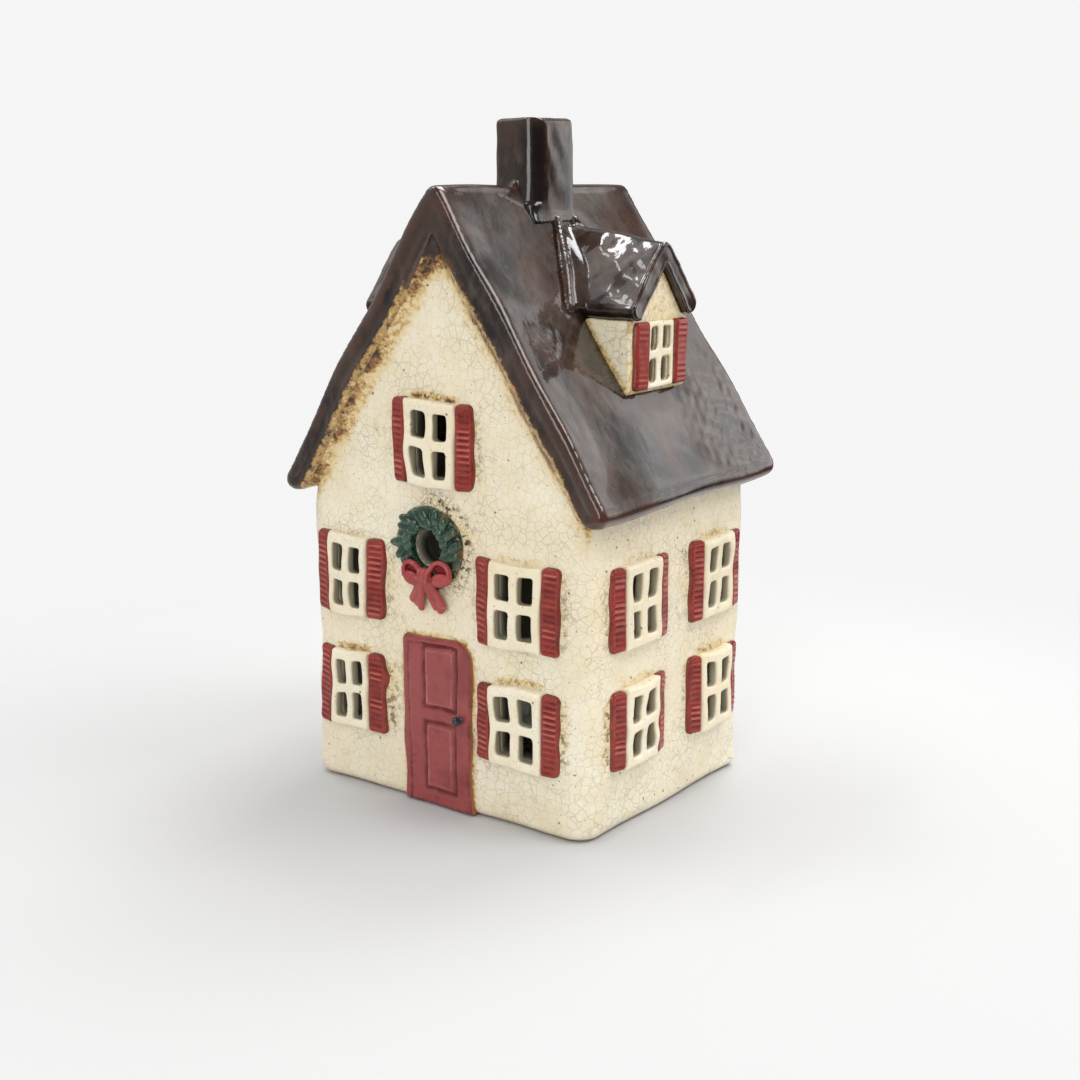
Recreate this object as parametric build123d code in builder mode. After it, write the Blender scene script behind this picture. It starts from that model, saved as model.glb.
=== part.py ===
from build123d import *
import math
import os

os.makedirs("parts", exist_ok=True)

# Sizes are in millimetres. The door gable faces -Y, +Z is up and the base rests on Z = 0.

# Walls and base slab
wall_width = 101.0
wall_depth = 85.0
wall_thickness = 4.5
corner_radius = 3.5
base_thickness = 5.0
base_edge_radius = 1.5

# Main roof
roof_pitch = 55.6
ridge_height = 182.2
roof_thickness = 8.0
verge_overhang = 4.6
eave_radius = 3.0
ridge_radius = 2.0

# Chimney
chimney_rise = 17.8
chimney_width = 15.2
chimney_depth = 20.0
chimney_wall = 3.5
chimney_edge_radius = 1.5

# Dormers
dormer_face = 41.0
dormer_right_shift = 4.6
dormer_left_shift = -9.4
dormer_width = 31.5
dormer_wall = 3.5
dormer_apex_drop = 15.4
dormer_ridge_rise = 0.13
dormer_pitch = 48.5
dormer_eave_drop = 37.7
dormer_roof_thickness = 5.0
dormer_verge = 2.2
dormer_eave_radius = 2.5
dormer_hatch_margin = 1.0

# Windows in the house walls
pane_width = 5.0
pane_height = 7.8
pane_corner = 0.8
glazing_bar = 2.8
frame_stile = 2.5
frame_rail = 3.0
frame_proud = 3.4
frame_edge_radius = 1.0
upper_row = 66.4
lower_row = 31.0
gable_above_wreath = 5.3
front_shift = -3.5
front_inset = 20.0
side_shift = 2.2
side_inset = 21.6

# Windows in the dormers
dormer_pane_width = 4.4
dormer_pane_height = 6.6
dormer_bar = 2.6
dormer_stile = 1.6
dormer_rail = 1.9
dormer_frame_proud = 1.0
dormer_head_gap = 0.9

# Shutters
shutter_width = 5.6
shutter_inner = 3.0
shutter_outer = 1.6
shutter_margin = 0.7
dormer_shutter_width = 7.0
dormer_shutter_inner = 2.0
dormer_shutter_outer = 1.6
slat_pitch = 1.7
slat_groove = 0.6
slat_depth = 0.5

# Door
door_width = 25.5
door_height = 52.4
door_shift = -2.3
door_bottom = 0.4
door_thickness = 1.6
door_left_radius = 2.0
door_right_radius = 6.0
door_edge_radius = 0.5
panel_width = 12.0
panel_shift = 1.2
upper_panel_height = 19.7
lower_panel_height = 21.3
panel_foot = 4.6
panel_gap = 4.2
panel_groove = 1.0
panel_depth = 0.7
knob_inset = 3.9
knob_height = 29.0
knob_radius = 1.25
knob_neck_radius = 0.8
knob_neck = 0.5

# Wreath and bow
bow_above_door = 9.3
wreath_shift = -4.8
wreath_outer = 12.4
wreath_hole = 4.7
wreath_proud = 3.4
bow_span = 17.6
bow_loop_height = 7.0
bow_drop = 6.2
bow_knot_radius = 2.2
bow_tail_length = 11.0
bow_tail_width = 4.2
bow_proud = 4.6
bow_overlap = 0.6

# Rear opening
opening_width = 50.0
opening_spring = 20.0

# Tealight
cup_diameter = 38.0
cup_height = 15.5
cup_sheet = 0.4
cup_rim = 0.5
cup_rim_height = 0.8
wax_height = 12.5
wax_clearance = 0.3
wick_diameter = 1.4
wick_above_wax = 8.0
sustainer_diameter = 12.0
sustainer_sheet = 0.5
collar_diameter = 3.4
collar_height = 3.5

# Derived values
half_width = wall_width / 2
half_depth = wall_depth / 2
roof_slope = math.tan(math.radians(roof_pitch))
roof_drop = roof_thickness / math.cos(math.radians(roof_pitch))
roof_half_length = half_depth + verge_overhang
dormer_slope = math.tan(math.radians(dormer_pitch))
dormer_drop = dormer_roof_thickness / math.cos(math.radians(dormer_pitch))
flue_width = chimney_width - 2 * chimney_wall
flue_depth = chimney_depth - 2 * chimney_wall
sight_width = 2 * pane_width + glazing_bar
sight_height = 2 * pane_height + glazing_bar
frame_width = sight_width + 2 * frame_stile
frame_height = sight_height + 2 * frame_rail
dormer_frame_width = 2 * dormer_pane_width + dormer_bar + 2 * dormer_stile
dormer_frame_height = 2 * dormer_pane_height + dormer_bar + 2 * dormer_rail
chimney_top = ridge_height + chimney_rise
dormer_apex = ridge_height - dormer_apex_drop
dormer_eave = ridge_height - dormer_eave_drop
dormer_window_row = dormer_eave - dormer_head_gap - dormer_frame_height / 2
wreath_height = door_bottom + door_height + bow_above_door + bow_tail_length + bow_drop
gable_row = wreath_height + wreath_outer + gable_above_wreath + frame_height / 2
front_spacing = wall_width - 2 * front_inset
side_spacing = wall_depth - 2 * side_inset
reach = 2 * chimney_top


def roof_top(x):
    """Height of the main roof's upper surface, with the ridge unrounded."""
    return ridge_height - abs(x) * roof_slope


def roof_under(x):
    """Height of the main roof's lower surface."""
    return roof_top(x) - roof_drop


soffit_height = roof_under(half_width)
eave_tip = (ridge_height - soffit_height) / roof_slope

# Faces that the trim sits on; each one's local x runs along the wall and local y is up
front_face = Plane.XZ.offset(half_depth)
rear_face = Plane(origin=(0, half_depth, 0), x_dir=(-1, 0, 0), z_dir=(0, 1, 0))
right_face = Plane.YZ.offset(half_width)
left_face = Plane(origin=(-half_width, 0, 0), x_dir=(0, -1, 0), z_dir=(-1, 0, 0))
right_dormer_face = Plane.YZ.offset(dormer_face)
left_dormer_face = Plane(origin=(-dormer_face, 0, 0), x_dir=(0, -1, 0), z_dir=(-1, 0, 0))

pieces = {}

# Windows, by the wall that each one is in: (place along the wall, height)
front_left = front_shift - front_spacing / 2
front_right = front_shift + front_spacing / 2
side_front = side_shift - side_spacing / 2
side_rear = side_shift + side_spacing / 2
front_windows = {
    "front_gable": (front_shift, gable_row),
    "front_upper_left": (front_left, upper_row),
    "front_upper_right": (front_right, upper_row),
    "front_lower_left": (front_left, lower_row),
    "front_lower_right": (front_right, lower_row),
}
right_windows = {
    "right_upper_front": (side_front, upper_row),
    "right_upper_rear": (side_rear, upper_row),
    "right_lower_front": (side_front, lower_row),
    "right_lower_rear": (side_rear, lower_row),
}
left_windows = {
    "left_upper_front": (-side_front, upper_row),
    "left_upper_rear": (-side_rear, upper_row),
    "left_lower_front": (-side_front, lower_row),
    "left_lower_rear": (-side_rear, lower_row),
}


def pane_holes(plane, centres, width, height, bar):
    """Sketch of the four panes of every window whose centre is given."""
    with BuildSketch(plane) as panes:
        with Locations(*centres):
            with GridLocations(width + bar, height + bar, 2, 2):
                RectangleRounded(width, height, pane_corner)
    return panes.sketch


def house_panes(plane, windows):
    return pane_holes(plane, list(windows.values()), pane_width, pane_height, glazing_bar)


def window_openings(plane, windows):
    """Sketch of the openings in a wall, one behind each window frame."""
    with BuildSketch(plane) as openings:
        with Locations(*windows.values()):
            RectangleRounded(sight_width, sight_height, pane_corner)
    return openings.sketch


def dormer_panes(plane, shift):
    centres = [(shift, dormer_window_row)]
    return pane_holes(plane, centres, dormer_pane_width, dormer_pane_height, dormer_bar)


# Sketches that trim the pieces to the roof
with BuildSketch(Plane.XZ) as above_soffits:
    with BuildLine():
        Polyline(
            (-reach, roof_under(reach)),
            (0, roof_under(0)),
            (reach, roof_under(reach)),
            (reach, reach),
            (-reach, reach),
            close=True,
        )
    make_face()

with BuildSketch(Plane.XZ) as roof_section:
    with BuildLine():
        Polyline(
            (0, roof_under(0)),
            (half_width, soffit_height),
            (eave_tip, soffit_height),
            (0, ridge_height),
            (-eave_tip, soffit_height),
            (-half_width, soffit_height),
            close=True,
        )
    make_face()
    eave_corners = roof_section.vertices().group_by(Axis.X)
    fillet([eave_corners[0][0], eave_corners[-1][0]], eave_radius)
    fillet(roof_section.vertices().sort_by(Axis.Y)[-1], ridge_radius)

with BuildSketch(Plane.XZ) as below_roof:
    with BuildLine():
        Polyline(
            (-reach, roof_top(reach)),
            (0, ridge_height),
            (reach, roof_top(reach)),
            (reach, roof_top(reach) - reach),
            (-reach, roof_top(reach) - reach),
            close=True,
        )
    make_face()
    ridge_corner = below_roof.vertices().filter_by_position(Axis.X, -0.01, 0.01)[0]
    fillet(ridge_corner, ridge_radius)

# Base slab, with its underside as the resting face
with BuildPart() as base_slab:
    with BuildSketch():
        RectangleRounded(wall_width, wall_depth, corner_radius)
    extrude(amount=base_thickness)
    fillet(base_slab.faces().sort_by(Axis.Z)[0].edges(), base_edge_radius)
pieces["base_slab"] = base_slab.part


def wall_slab(plan):
    """A wall over one mitred strip of the plan, from the base slab up to the roof's underside."""
    with BuildPart() as slab:
        with BuildSketch(Plane.XY.offset(base_thickness)):
            with BuildLine():
                Polyline(*plan, close=True)
            make_face()
            RectangleRounded(wall_width, wall_depth, corner_radius, mode=Mode.INTERSECT)
        extrude(amount=ridge_height)
        extrude(above_soffits.sketch, amount=reach, both=True, mode=Mode.SUBTRACT)
    return slab.part


inner_x = half_width - wall_thickness
inner_y = half_depth - wall_thickness
front_plan = [
    (-half_width, -half_depth),
    (half_width, -half_depth),
    (inner_x, -inner_y),
    (-inner_x, -inner_y),
]
rear_plan = [(x, -y) for x, y in front_plan]
right_plan = [
    (half_width, -half_depth),
    (half_width, half_depth),
    (inner_x, inner_y),
    (inner_x, -inner_y),
]
left_plan = [(-x, y) for x, y in right_plan]

# Walls
with BuildPart() as front_wall:
    add(wall_slab(front_plan))
    extrude(window_openings(front_face, front_windows), amount=-wall_thickness, mode=Mode.SUBTRACT)
    with BuildSketch(front_face):
        with Locations((wreath_shift, wreath_height)):
            Circle(wreath_hole)
    extrude(amount=-wall_thickness, mode=Mode.SUBTRACT)
pieces["front_wall"] = front_wall.part

with BuildPart() as right_wall:
    add(wall_slab(right_plan))
    extrude(window_openings(right_face, right_windows), amount=-wall_thickness, mode=Mode.SUBTRACT)
pieces["right_wall"] = right_wall.part

with BuildPart() as left_wall:
    add(wall_slab(left_plan))
    extrude(window_openings(left_face, left_windows), amount=-wall_thickness, mode=Mode.SUBTRACT)
pieces["left_wall"] = left_wall.part

with BuildPart() as rear_wall:
    add(wall_slab(rear_plan))
    with BuildSketch(rear_face):
        with Locations((0, base_thickness + opening_spring / 2)):
            Rectangle(opening_width, opening_spring)
        with Locations((0, base_thickness + opening_spring)):
            Circle(opening_width / 2)
        with Locations((0, -reach / 2 + base_thickness)):
            Rectangle(reach, reach, mode=Mode.SUBTRACT)
    extrude(amount=-wall_thickness, mode=Mode.SUBTRACT)
pieces["rear_wall"] = rear_wall.part

# Main roof: one blank, parted along the ridge into its two slabs
with BuildPart() as roof_blank:
    extrude(roof_section.sketch, amount=roof_half_length, both=True)
    with BuildSketch():
        Rectangle(flue_width, flue_depth)
    extrude(amount=reach, mode=Mode.SUBTRACT)

hatch_width = dormer_width - 2 * dormer_wall - 2 * dormer_hatch_margin
hatch_bottom = roof_top(dormer_face - dormer_wall) + dormer_hatch_margin
hatch_height = dormer_eave - hatch_bottom


def roof_slope_slab(side, keep, shift):
    """One roof slab, with the hatch that opens it to its dormer."""
    with BuildPart() as slab:
        add(roof_blank.part)
        split(bisect_by=Plane.YZ, keep=keep)
        with BuildSketch(Plane.YZ):
            with Locations((shift, hatch_bottom + hatch_height / 2)):
                Rectangle(hatch_width, hatch_height)
        extrude(amount=side * reach, mode=Mode.SUBTRACT)
    return slab.part


pieces["roof_right_slope"] = roof_slope_slab(1, Keep.TOP, dormer_right_shift)
pieces["roof_left_slope"] = roof_slope_slab(-1, Keep.BOTTOM, dormer_left_shift)

# Chimney, saddle cut to the roof
with BuildPart() as chimney:
    with BuildSketch(Plane.XY.offset(roof_under(0))):
        RectangleRounded(chimney_width, chimney_depth, chimney_edge_radius)
        Rectangle(flue_width, flue_depth, mode=Mode.SUBTRACT)
    extrude(amount=chimney_top - roof_under(0))
    fillet(chimney.faces().sort_by(Axis.Z)[-1].edges(), chimney_edge_radius / 2)
    extrude(below_roof.sketch, amount=reach, both=True, mode=Mode.SUBTRACT)
pieces["chimney"] = chimney.part

# Dormers: the roof's ridge rises to the rear over level eaves
dormer_half = dormer_width / 2
dormer_seat = (dormer_apex - dormer_drop - dormer_eave) / dormer_slope
dormer_tip = (dormer_apex - dormer_eave) / dormer_slope
dormer_roof_length = dormer_face + dormer_verge
dormer_face_apex = dormer_apex - dormer_drop + dormer_verge * dormer_ridge_rise


def dormer_walls(plane, shift):
    """Face and cheeks of a dormer, cut to the main roof, with its panes pierced."""
    with BuildPart() as walls:
        with BuildSketch(plane):
            with Locations((shift, 0)):
                Polygon(
                    (-dormer_half, 0),
                    (-dormer_half, dormer_eave),
                    (-dormer_seat, dormer_eave),
                    (0, dormer_face_apex),
                    (dormer_seat, dormer_eave),
                    (dormer_half, dormer_eave),
                    (dormer_half, 0),
                    align=None,
                )
        extrude(amount=-dormer_face)
        with BuildSketch(plane.offset(-dormer_wall)):
            with Locations((shift, dormer_eave / 2)):
                Rectangle(dormer_width - 2 * dormer_wall, dormer_eave)
            with Locations((shift, dormer_eave + dormer_half)):
                Rectangle(2 * dormer_width, dormer_width)
        extrude(amount=-dormer_face, mode=Mode.SUBTRACT)
        extrude(below_roof.sketch, amount=reach, both=True, mode=Mode.SUBTRACT)
        extrude(dormer_panes(plane, shift), amount=-dormer_wall, mode=Mode.SUBTRACT)
    return walls.part


def dormer_roof_section(plane, shift, apex):
    """Section across a dormer's roof, with rounded eaves and ridge."""
    with BuildSketch(plane) as section:
        with Locations((shift, 0)):
            Polygon(
                (0, apex - dormer_drop),
                (dormer_seat, dormer_eave),
                (dormer_tip, dormer_eave),
                (0, apex),
                (-dormer_tip, dormer_eave),
                (-dormer_seat, dormer_eave),
                align=None,
            )
        corners = section.vertices().group_by(Axis.X)
        fillet([corners[0][0], corners[-1][0]], dormer_eave_radius)
        fillet(section.vertices().sort_by(Axis.Y)[-1], dormer_eave_radius)
    return section.sketch


def dormer_roof(plane, shift):
    """The dormer's two slopes in one piece, from its verge back to the main roof."""
    front = plane.offset(dormer_verge)
    rear_apex = dormer_apex + dormer_roof_length * dormer_ridge_rise
    with BuildPart() as roof:
        loft(
            [
                dormer_roof_section(front, shift, dormer_apex).face(),
                dormer_roof_section(front.offset(-dormer_roof_length), shift, rear_apex).face(),
            ],
            ruled=True,
        )
        extrude(below_roof.sketch, amount=reach, both=True, mode=Mode.SUBTRACT)
    return roof.part


pieces["dormer_right_walls"] = dormer_walls(right_dormer_face, dormer_right_shift)
pieces["dormer_right_roof"] = dormer_roof(right_dormer_face, dormer_right_shift)
pieces["dormer_left_walls"] = dormer_walls(left_dormer_face, -dormer_left_shift)
pieces["dormer_left_roof"] = dormer_roof(left_dormer_face, -dormer_left_shift)


def window_frame(plane, centre, width, height, proud, panes):
    """A raised frame with its glazing bars, seated on the wall."""
    with BuildPart() as frame:
        with BuildSketch(plane):
            with Locations(centre):
                Rectangle(width, height)
        extrude(amount=proud)
        outer = frame.faces().sort_by(SortBy.DISTANCE, reverse=True)
        front = [face for face in outer if face.normal_at().dot(plane.z_dir) > 0.99]
        fillet(front[0].edges(), min(frame_edge_radius, proud / 2))
        extrude(panes, amount=proud, mode=Mode.SUBTRACT)
    return frame.part


def shutter_pair(frame, height, width, inner, outer):
    """Both shutters of a window, about its centre, with local z out of the wall."""
    start = frame / 2
    lean = math.atan2(inner - outer, width)
    rows = int((height - 2 * shutter_margin) / slat_pitch)
    with BuildPart() as pair:
        for side in (-1, 1):
            with BuildSketch(Plane.XZ):
                with BuildLine():
                    Polyline(
                        (side * start, 0),
                        (side * (start + width), 0),
                        (side * (start + width), outer),
                        (side * start, inner),
                        close=True,
                    )
                make_face()
            extrude(amount=height / 2, both=True)
            slope = Plane(
                origin=(side * (start + width / 2), 0, (inner + outer) / 2),
                x_dir=(math.cos(lean), 0, -side * math.sin(lean)),
                z_dir=(side * math.sin(lean), 0, math.cos(lean)),
            )
            with BuildSketch(slope):
                with GridLocations(1, slat_pitch, 1, rows):
                    Rectangle(width - 2 * shutter_margin, slat_groove)
            extrude(amount=-slat_depth, mode=Mode.SUBTRACT)
    return pair.part


def placed(part, plane, centre):
    """The part moved to a window's centre on its wall."""
    with BuildPart() as moved:
        with Locations(plane.location * Location((centre[0], centre[1], 0))):
            add(part)
    return moved.part


# Window frames and shutters
house_shutters = shutter_pair(frame_width, frame_height, shutter_width, shutter_inner, shutter_outer)
for plane, windows in (
    (front_face, front_windows),
    (right_face, right_windows),
    (left_face, left_windows),
):
    panes = house_panes(plane, windows)
    for name, centre in windows.items():
        pieces["window_" + name] = window_frame(
            plane, centre, frame_width, frame_height, frame_proud, panes
        )
        pieces["shutters_" + name] = placed(house_shutters, plane, centre)

dormer_shutters = shutter_pair(
    dormer_frame_width,
    dormer_frame_height,
    dormer_shutter_width,
    dormer_shutter_inner,
    dormer_shutter_outer,
)
for name, plane, shift in (
    ("dormer_right", right_dormer_face, dormer_right_shift),
    ("dormer_left", left_dormer_face, -dormer_left_shift),
):
    centre = (shift, dormer_window_row)
    pieces["window_" + name] = window_frame(
        plane,
        centre,
        dormer_frame_width,
        dormer_frame_height,
        dormer_frame_proud,
        dormer_panes(plane, shift),
    )
    pieces["shutters_" + name] = placed(dormer_shutters, plane, centre)

# Front door with two grooved panels, and its knob
door_face = front_face.offset(door_thickness)
panel_centre = door_shift + panel_shift
lower_panel_centre = door_bottom + panel_foot + lower_panel_height / 2
upper_panel_centre = lower_panel_centre + (lower_panel_height + upper_panel_height) / 2 + panel_gap
with BuildPart() as front_door:
    with BuildSketch(front_face) as door_outline:
        with Locations((door_shift, door_bottom + door_height / 2)):
            Rectangle(door_width, door_height)
        top_corners = door_outline.vertices().group_by(Axis.Y)[-1].sort_by(Axis.X)
        fillet(top_corners[0], door_left_radius)
        right_corner = door_outline.vertices().group_by(Axis.Y)[-1].sort_by(Axis.X)[-1]
        fillet(right_corner, door_right_radius)
    extrude(amount=door_thickness)
    fillet(front_door.faces().sort_by(Axis.Y)[0].edges(), door_edge_radius)
    with BuildSketch(door_face):
        for height, middle in (
            (lower_panel_height, lower_panel_centre),
            (upper_panel_height, upper_panel_centre),
        ):
            with Locations((panel_centre, middle)):
                Rectangle(panel_width, height)
                Rectangle(
                    panel_width - 2 * panel_groove,
                    height - 2 * panel_groove,
                    mode=Mode.SUBTRACT,
                )
    extrude(amount=-panel_depth, mode=Mode.SUBTRACT)
pieces["front_door"] = front_door.part

knob_seat = Plane(
    origin=(door_shift + door_width / 2 - knob_inset, -half_depth - door_thickness, knob_height),
    x_dir=(1, 0, 0),
    z_dir=(0, -1, 0),
)
with BuildPart() as door_knob:
    with BuildSketch(knob_seat):
        Circle(knob_neck_radius)
    extrude(amount=knob_neck + knob_radius)
    with Locations(knob_seat.location * Location((0, 0, knob_neck + knob_radius))):
        Sphere(knob_radius)
pieces["door_knob"] = door_knob.part

# Wreath round the hole in the front wall, cut flat where it meets the wall
wreath_ring = (wreath_outer + wreath_hole) / 2
wreath_minor = (wreath_outer - wreath_hole) / 2
wreath_place = front_face.location * Location((wreath_shift, wreath_height, 0))
with BuildPart() as wreath:
    with Locations(wreath_place * Location((0, 0, wreath_proud - wreath_minor))):
        Torus(wreath_ring, wreath_minor)
    with Locations(wreath_place * Location((0, 0, -wreath_outer))):
        Cylinder(2 * wreath_outer, 2 * wreath_outer, mode=Mode.SUBTRACT)
pieces["wreath"] = wreath.part

# Bow laid over the foot of the wreath
with BuildPart() as wreath_bow:
    with BuildSketch(front_face):
        with Locations((wreath_shift, wreath_height - bow_drop)):
            Circle(bow_knot_radius)
            with Locations((-bow_span / 4, 0), (bow_span / 4, 0)):
                Ellipse(bow_span / 4 + bow_overlap, bow_loop_height / 2)
            for side in (-1, 1):
                Polygon(
                    (0, bow_knot_radius / 2),
                    (side * bow_tail_width / 4, -bow_tail_length),
                    (side * bow_tail_width * 5 / 4, -bow_tail_length),
                    (side * bow_knot_radius, 0),
                    align=None,
                )
    extrude(amount=bow_proud)
    add(wreath.part, mode=Mode.SUBTRACT)
pieces["wreath_bow"] = wreath_bow.part

# Tealight on the base slab
cup_radius = cup_diameter / 2
wax_radius = cup_radius - cup_sheet - wax_clearance
candle_floor = base_thickness + cup_sheet
with BuildPart() as tealight_cup:
    with BuildSketch(Plane.XY.offset(base_thickness)):
        Circle(cup_radius)
    extrude(amount=cup_height)
    with BuildSketch(Plane.XY.offset(base_thickness + cup_height - cup_rim_height)):
        Circle(cup_radius + cup_rim)
    extrude(amount=cup_rim_height)
    with BuildSketch(Plane.XY.offset(candle_floor)):
        Circle(cup_radius - cup_sheet)
    extrude(amount=cup_height, mode=Mode.SUBTRACT)
pieces["tealight_cup"] = tealight_cup.part

with BuildPart() as candle_wick:
    with BuildSketch(Plane.XY.offset(candle_floor)):
        Circle(wick_diameter / 2)
    extrude(amount=wax_height + wick_above_wax)
pieces["candle_wick"] = candle_wick.part

with BuildPart() as wick_sustainer:
    with BuildSketch(Plane.XY.offset(candle_floor)):
        Circle(sustainer_diameter / 2)
    extrude(amount=sustainer_sheet)
    with BuildSketch(Plane.XY.offset(candle_floor)):
        Circle(collar_diameter / 2)
    extrude(amount=collar_height)
    with BuildSketch(Plane.XY.offset(candle_floor)):
        Circle(wick_diameter / 2)
    extrude(amount=collar_height, mode=Mode.SUBTRACT)
pieces["wick_sustainer"] = wick_sustainer.part

with BuildPart() as candle_wax:
    with BuildSketch(Plane.XY.offset(candle_floor)):
        Circle(wax_radius)
    extrude(amount=wax_height)
    add(wick_sustainer.part, mode=Mode.SUBTRACT)
    add(candle_wick.part, mode=Mode.SUBTRACT)
pieces["candle_wax"] = candle_wax.part

for node, part in pieces.items():
    part.label = node
    export_step(part, f"parts/{node}.step")
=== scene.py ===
"""Looks of the tealight house: soft hand-built clay, crackled cream glaze, dark gloss roof and its tealight.

Lengths are in millimetres until a mesh is made, and the frame's own units are metres.
"""
import math

import bmesh
import bpy
import numpy as np
from mathutils import Matrix, Vector


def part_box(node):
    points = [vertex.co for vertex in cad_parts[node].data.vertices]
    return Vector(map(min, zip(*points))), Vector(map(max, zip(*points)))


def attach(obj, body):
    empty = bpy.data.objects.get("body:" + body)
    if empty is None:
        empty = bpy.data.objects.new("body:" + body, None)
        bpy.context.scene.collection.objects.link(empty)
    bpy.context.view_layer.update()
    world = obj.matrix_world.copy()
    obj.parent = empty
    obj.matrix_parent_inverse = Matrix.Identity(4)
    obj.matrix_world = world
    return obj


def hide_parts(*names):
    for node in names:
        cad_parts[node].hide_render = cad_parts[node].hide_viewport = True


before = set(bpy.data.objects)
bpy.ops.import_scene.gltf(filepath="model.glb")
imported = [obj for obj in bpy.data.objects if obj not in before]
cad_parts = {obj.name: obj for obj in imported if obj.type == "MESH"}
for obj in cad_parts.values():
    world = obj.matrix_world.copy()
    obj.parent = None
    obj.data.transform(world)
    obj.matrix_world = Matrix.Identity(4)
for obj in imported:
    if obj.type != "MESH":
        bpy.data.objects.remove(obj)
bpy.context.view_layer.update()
MM = 0.001


def box_mm(node):
    """Lowest and highest corner of a CAD node, in millimetres."""
    lo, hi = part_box(node)
    return np.array(lo) / MM, np.array(hi) / MM


# Sizes that the CAD boxes don't hold
base_thickness = 5.0
roof_pitch = math.radians(55.6)
roof_thickness = 8.0
dormer_pitch = math.radians(48.5)
frame_stile, frame_rail = 2.5, 3.0
dormer_stile, dormer_rail = 1.6, 1.9

# Sizes read from the CAD boxes
half_width, half_depth = box_mm("base_slab")[1][:2]
soffit_height = box_mm("roof_right_slope")[0][2]
roof_slope = math.tan(roof_pitch)
ridge_height = soffit_height + half_width * roof_slope + roof_thickness / math.cos(roof_pitch)

# How far the hand-built clay strays from the drawing
wobble_size = 0.32
wobble_waves = (26.0, 70.0)
wobble_foot = 14.0
left_wall_lean = 2.1
left_eave_drop = 3.0
left_eave_tuck = 1.5
right_eave_drop = 1.6

# Across the front, left of the door: the corner, both edges of shutters and frame, and the bare wall
shutters_lo, shutters_hi = box_mm("shutters_front_upper_left")
frame_lo, frame_hi = box_mm("window_front_upper_left")
bare_wall = -17.0
left_column = (-half_width, shutters_lo[0], frame_lo[0], frame_hi[0], shutters_hi[0], bare_wall)
left_column_shift = (-left_wall_lean, -0.2, 0.0, -3.2, -2.6, 0.0)

rng = np.random.default_rng(7)


def smoothstep(low, high, value):
    """0 below low, 1 above high and a smooth rise between; low may be the larger one."""
    share = np.clip((np.asarray(value, float) - low) / (high - low), 0, 1)
    return share * share * (3 - 2 * share)


def hump(distance, width):
    """1 at no distance, falling off like a bell to about a third at the width."""
    return np.exp(-((distance / width) ** 2))


class Ripple:
    """A sum of sine waves in random directions, with values of about one."""

    def __init__(self, shortest, longest, count, channels=1):
        turn = rng.normal(size=(count, 3))
        turn /= np.linalg.norm(turn, axis=1, keepdims=True)
        length = shortest * (longest / shortest) ** rng.random(count)
        self.waves = turn * (2 * math.pi / length)[:, None]
        self.phase = rng.random(count) * 2 * math.pi
        self.share = rng.normal(size=(count, channels)) * math.sqrt(2 / count)

    def __call__(self, points):
        value = np.sin(points @ self.waves.T + self.phase) @ self.share
        return value[:, 0] if value.shape[1] == 1 else value


hand_wobble = Ripple(*wobble_waves, 14, 3)


def by_hand(points):
    """Where a point of the drawing lies on the hand-built house."""
    x, y, z = points.T
    shift = hand_wobble(points) * wobble_size
    shift[:, 2] *= smoothstep(0, wobble_foot, z)

    # The left wall leans out, and the windows between it and the door are narrow
    lean = -left_wall_lean * smoothstep(-25, -half_width, x) * smoothstep(112, 94, z)
    low_front = smoothstep(-half_depth + 12, -half_depth + 6, y) * smoothstep(92, 82, z)
    shift[:, 0] += lean + low_front * (np.interp(x, left_column, left_column_shift) - lean)

    # The front ends of the eaves hang low
    left_front = smoothstep(-30, -56, x) * smoothstep(20, -40, y) * smoothstep(84, 95, z)
    shift[:, 2] -= left_eave_drop * left_front
    shift[:, 0] += left_eave_tuck * left_front * smoothstep(110, 98, z)
    right_front = smoothstep(34, 56, x) * smoothstep(0, -42, y) * smoothstep(84, 95, z)
    shift[:, 2] -= right_eave_drop * right_front
    moved = points + shift
    moved[:, 2] = np.maximum(moved[:, 2], 0)
    return moved


def roof_top(x):
    return ridge_height - np.abs(x) * roof_slope


def roof_under(x):
    return roof_top(x) - roof_thickness / math.cos(roof_pitch)


def above_roof(points):
    """Distance from the main roof's upper surface, outwards."""
    return (points[:, 2] - roof_top(points[:, 0])) * math.cos(roof_pitch)


def slope_normal(out):
    """The direction off the main roof's slope, on the right for an out of 1 and on the left for -1."""
    return np.array([out * math.sin(roof_pitch), 0, math.cos(roof_pitch)])


# Meshes

def points_of(mesh):
    flat = np.empty(len(mesh.vertices) * 3)
    mesh.vertices.foreach_get("co", flat)
    return flat.reshape(-1, 3) / MM


def move_points(mesh, points):
    mesh.vertices.foreach_set("co", (points * MM).ravel())
    mesh.update()


def normals_of(mesh):
    flat = np.empty(len(mesh.vertices) * 3, np.float32)
    mesh.vertex_normals.foreach_get("vector", flat)
    return flat.reshape(-1, 3).astype(float)


def store(mesh, name, values):
    """Keeps one number for each vertex, for the materials to read."""
    layer = mesh.attributes.new(name, "FLOAT", "POINT")
    layer.data.foreach_set("value", np.asarray(values, np.float32))


def convexity(mesh, points, normals):
    """How far each vertex stands out from the middle of its neighbours."""
    ends = np.empty(len(mesh.edges) * 2, np.int64)
    mesh.edges.foreach_get("vertices", ends)
    first, second = ends.reshape(-1, 2).T
    total = np.zeros_like(points)
    count = np.bincount(ends, minlength=len(points))
    for axis in range(3):
        total[:, axis] += np.bincount(first, points[second, axis], len(points))
        total[:, axis] += np.bincount(second, points[first, axis], len(points))
    middle = total / count[:, None]
    return np.einsum("ij,ij->i", points - middle, normals)


def new_piece(name, mesh):
    piece = bpy.data.objects.new(name, mesh)
    bpy.context.scene.collection.objects.link(piece)
    return piece


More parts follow.
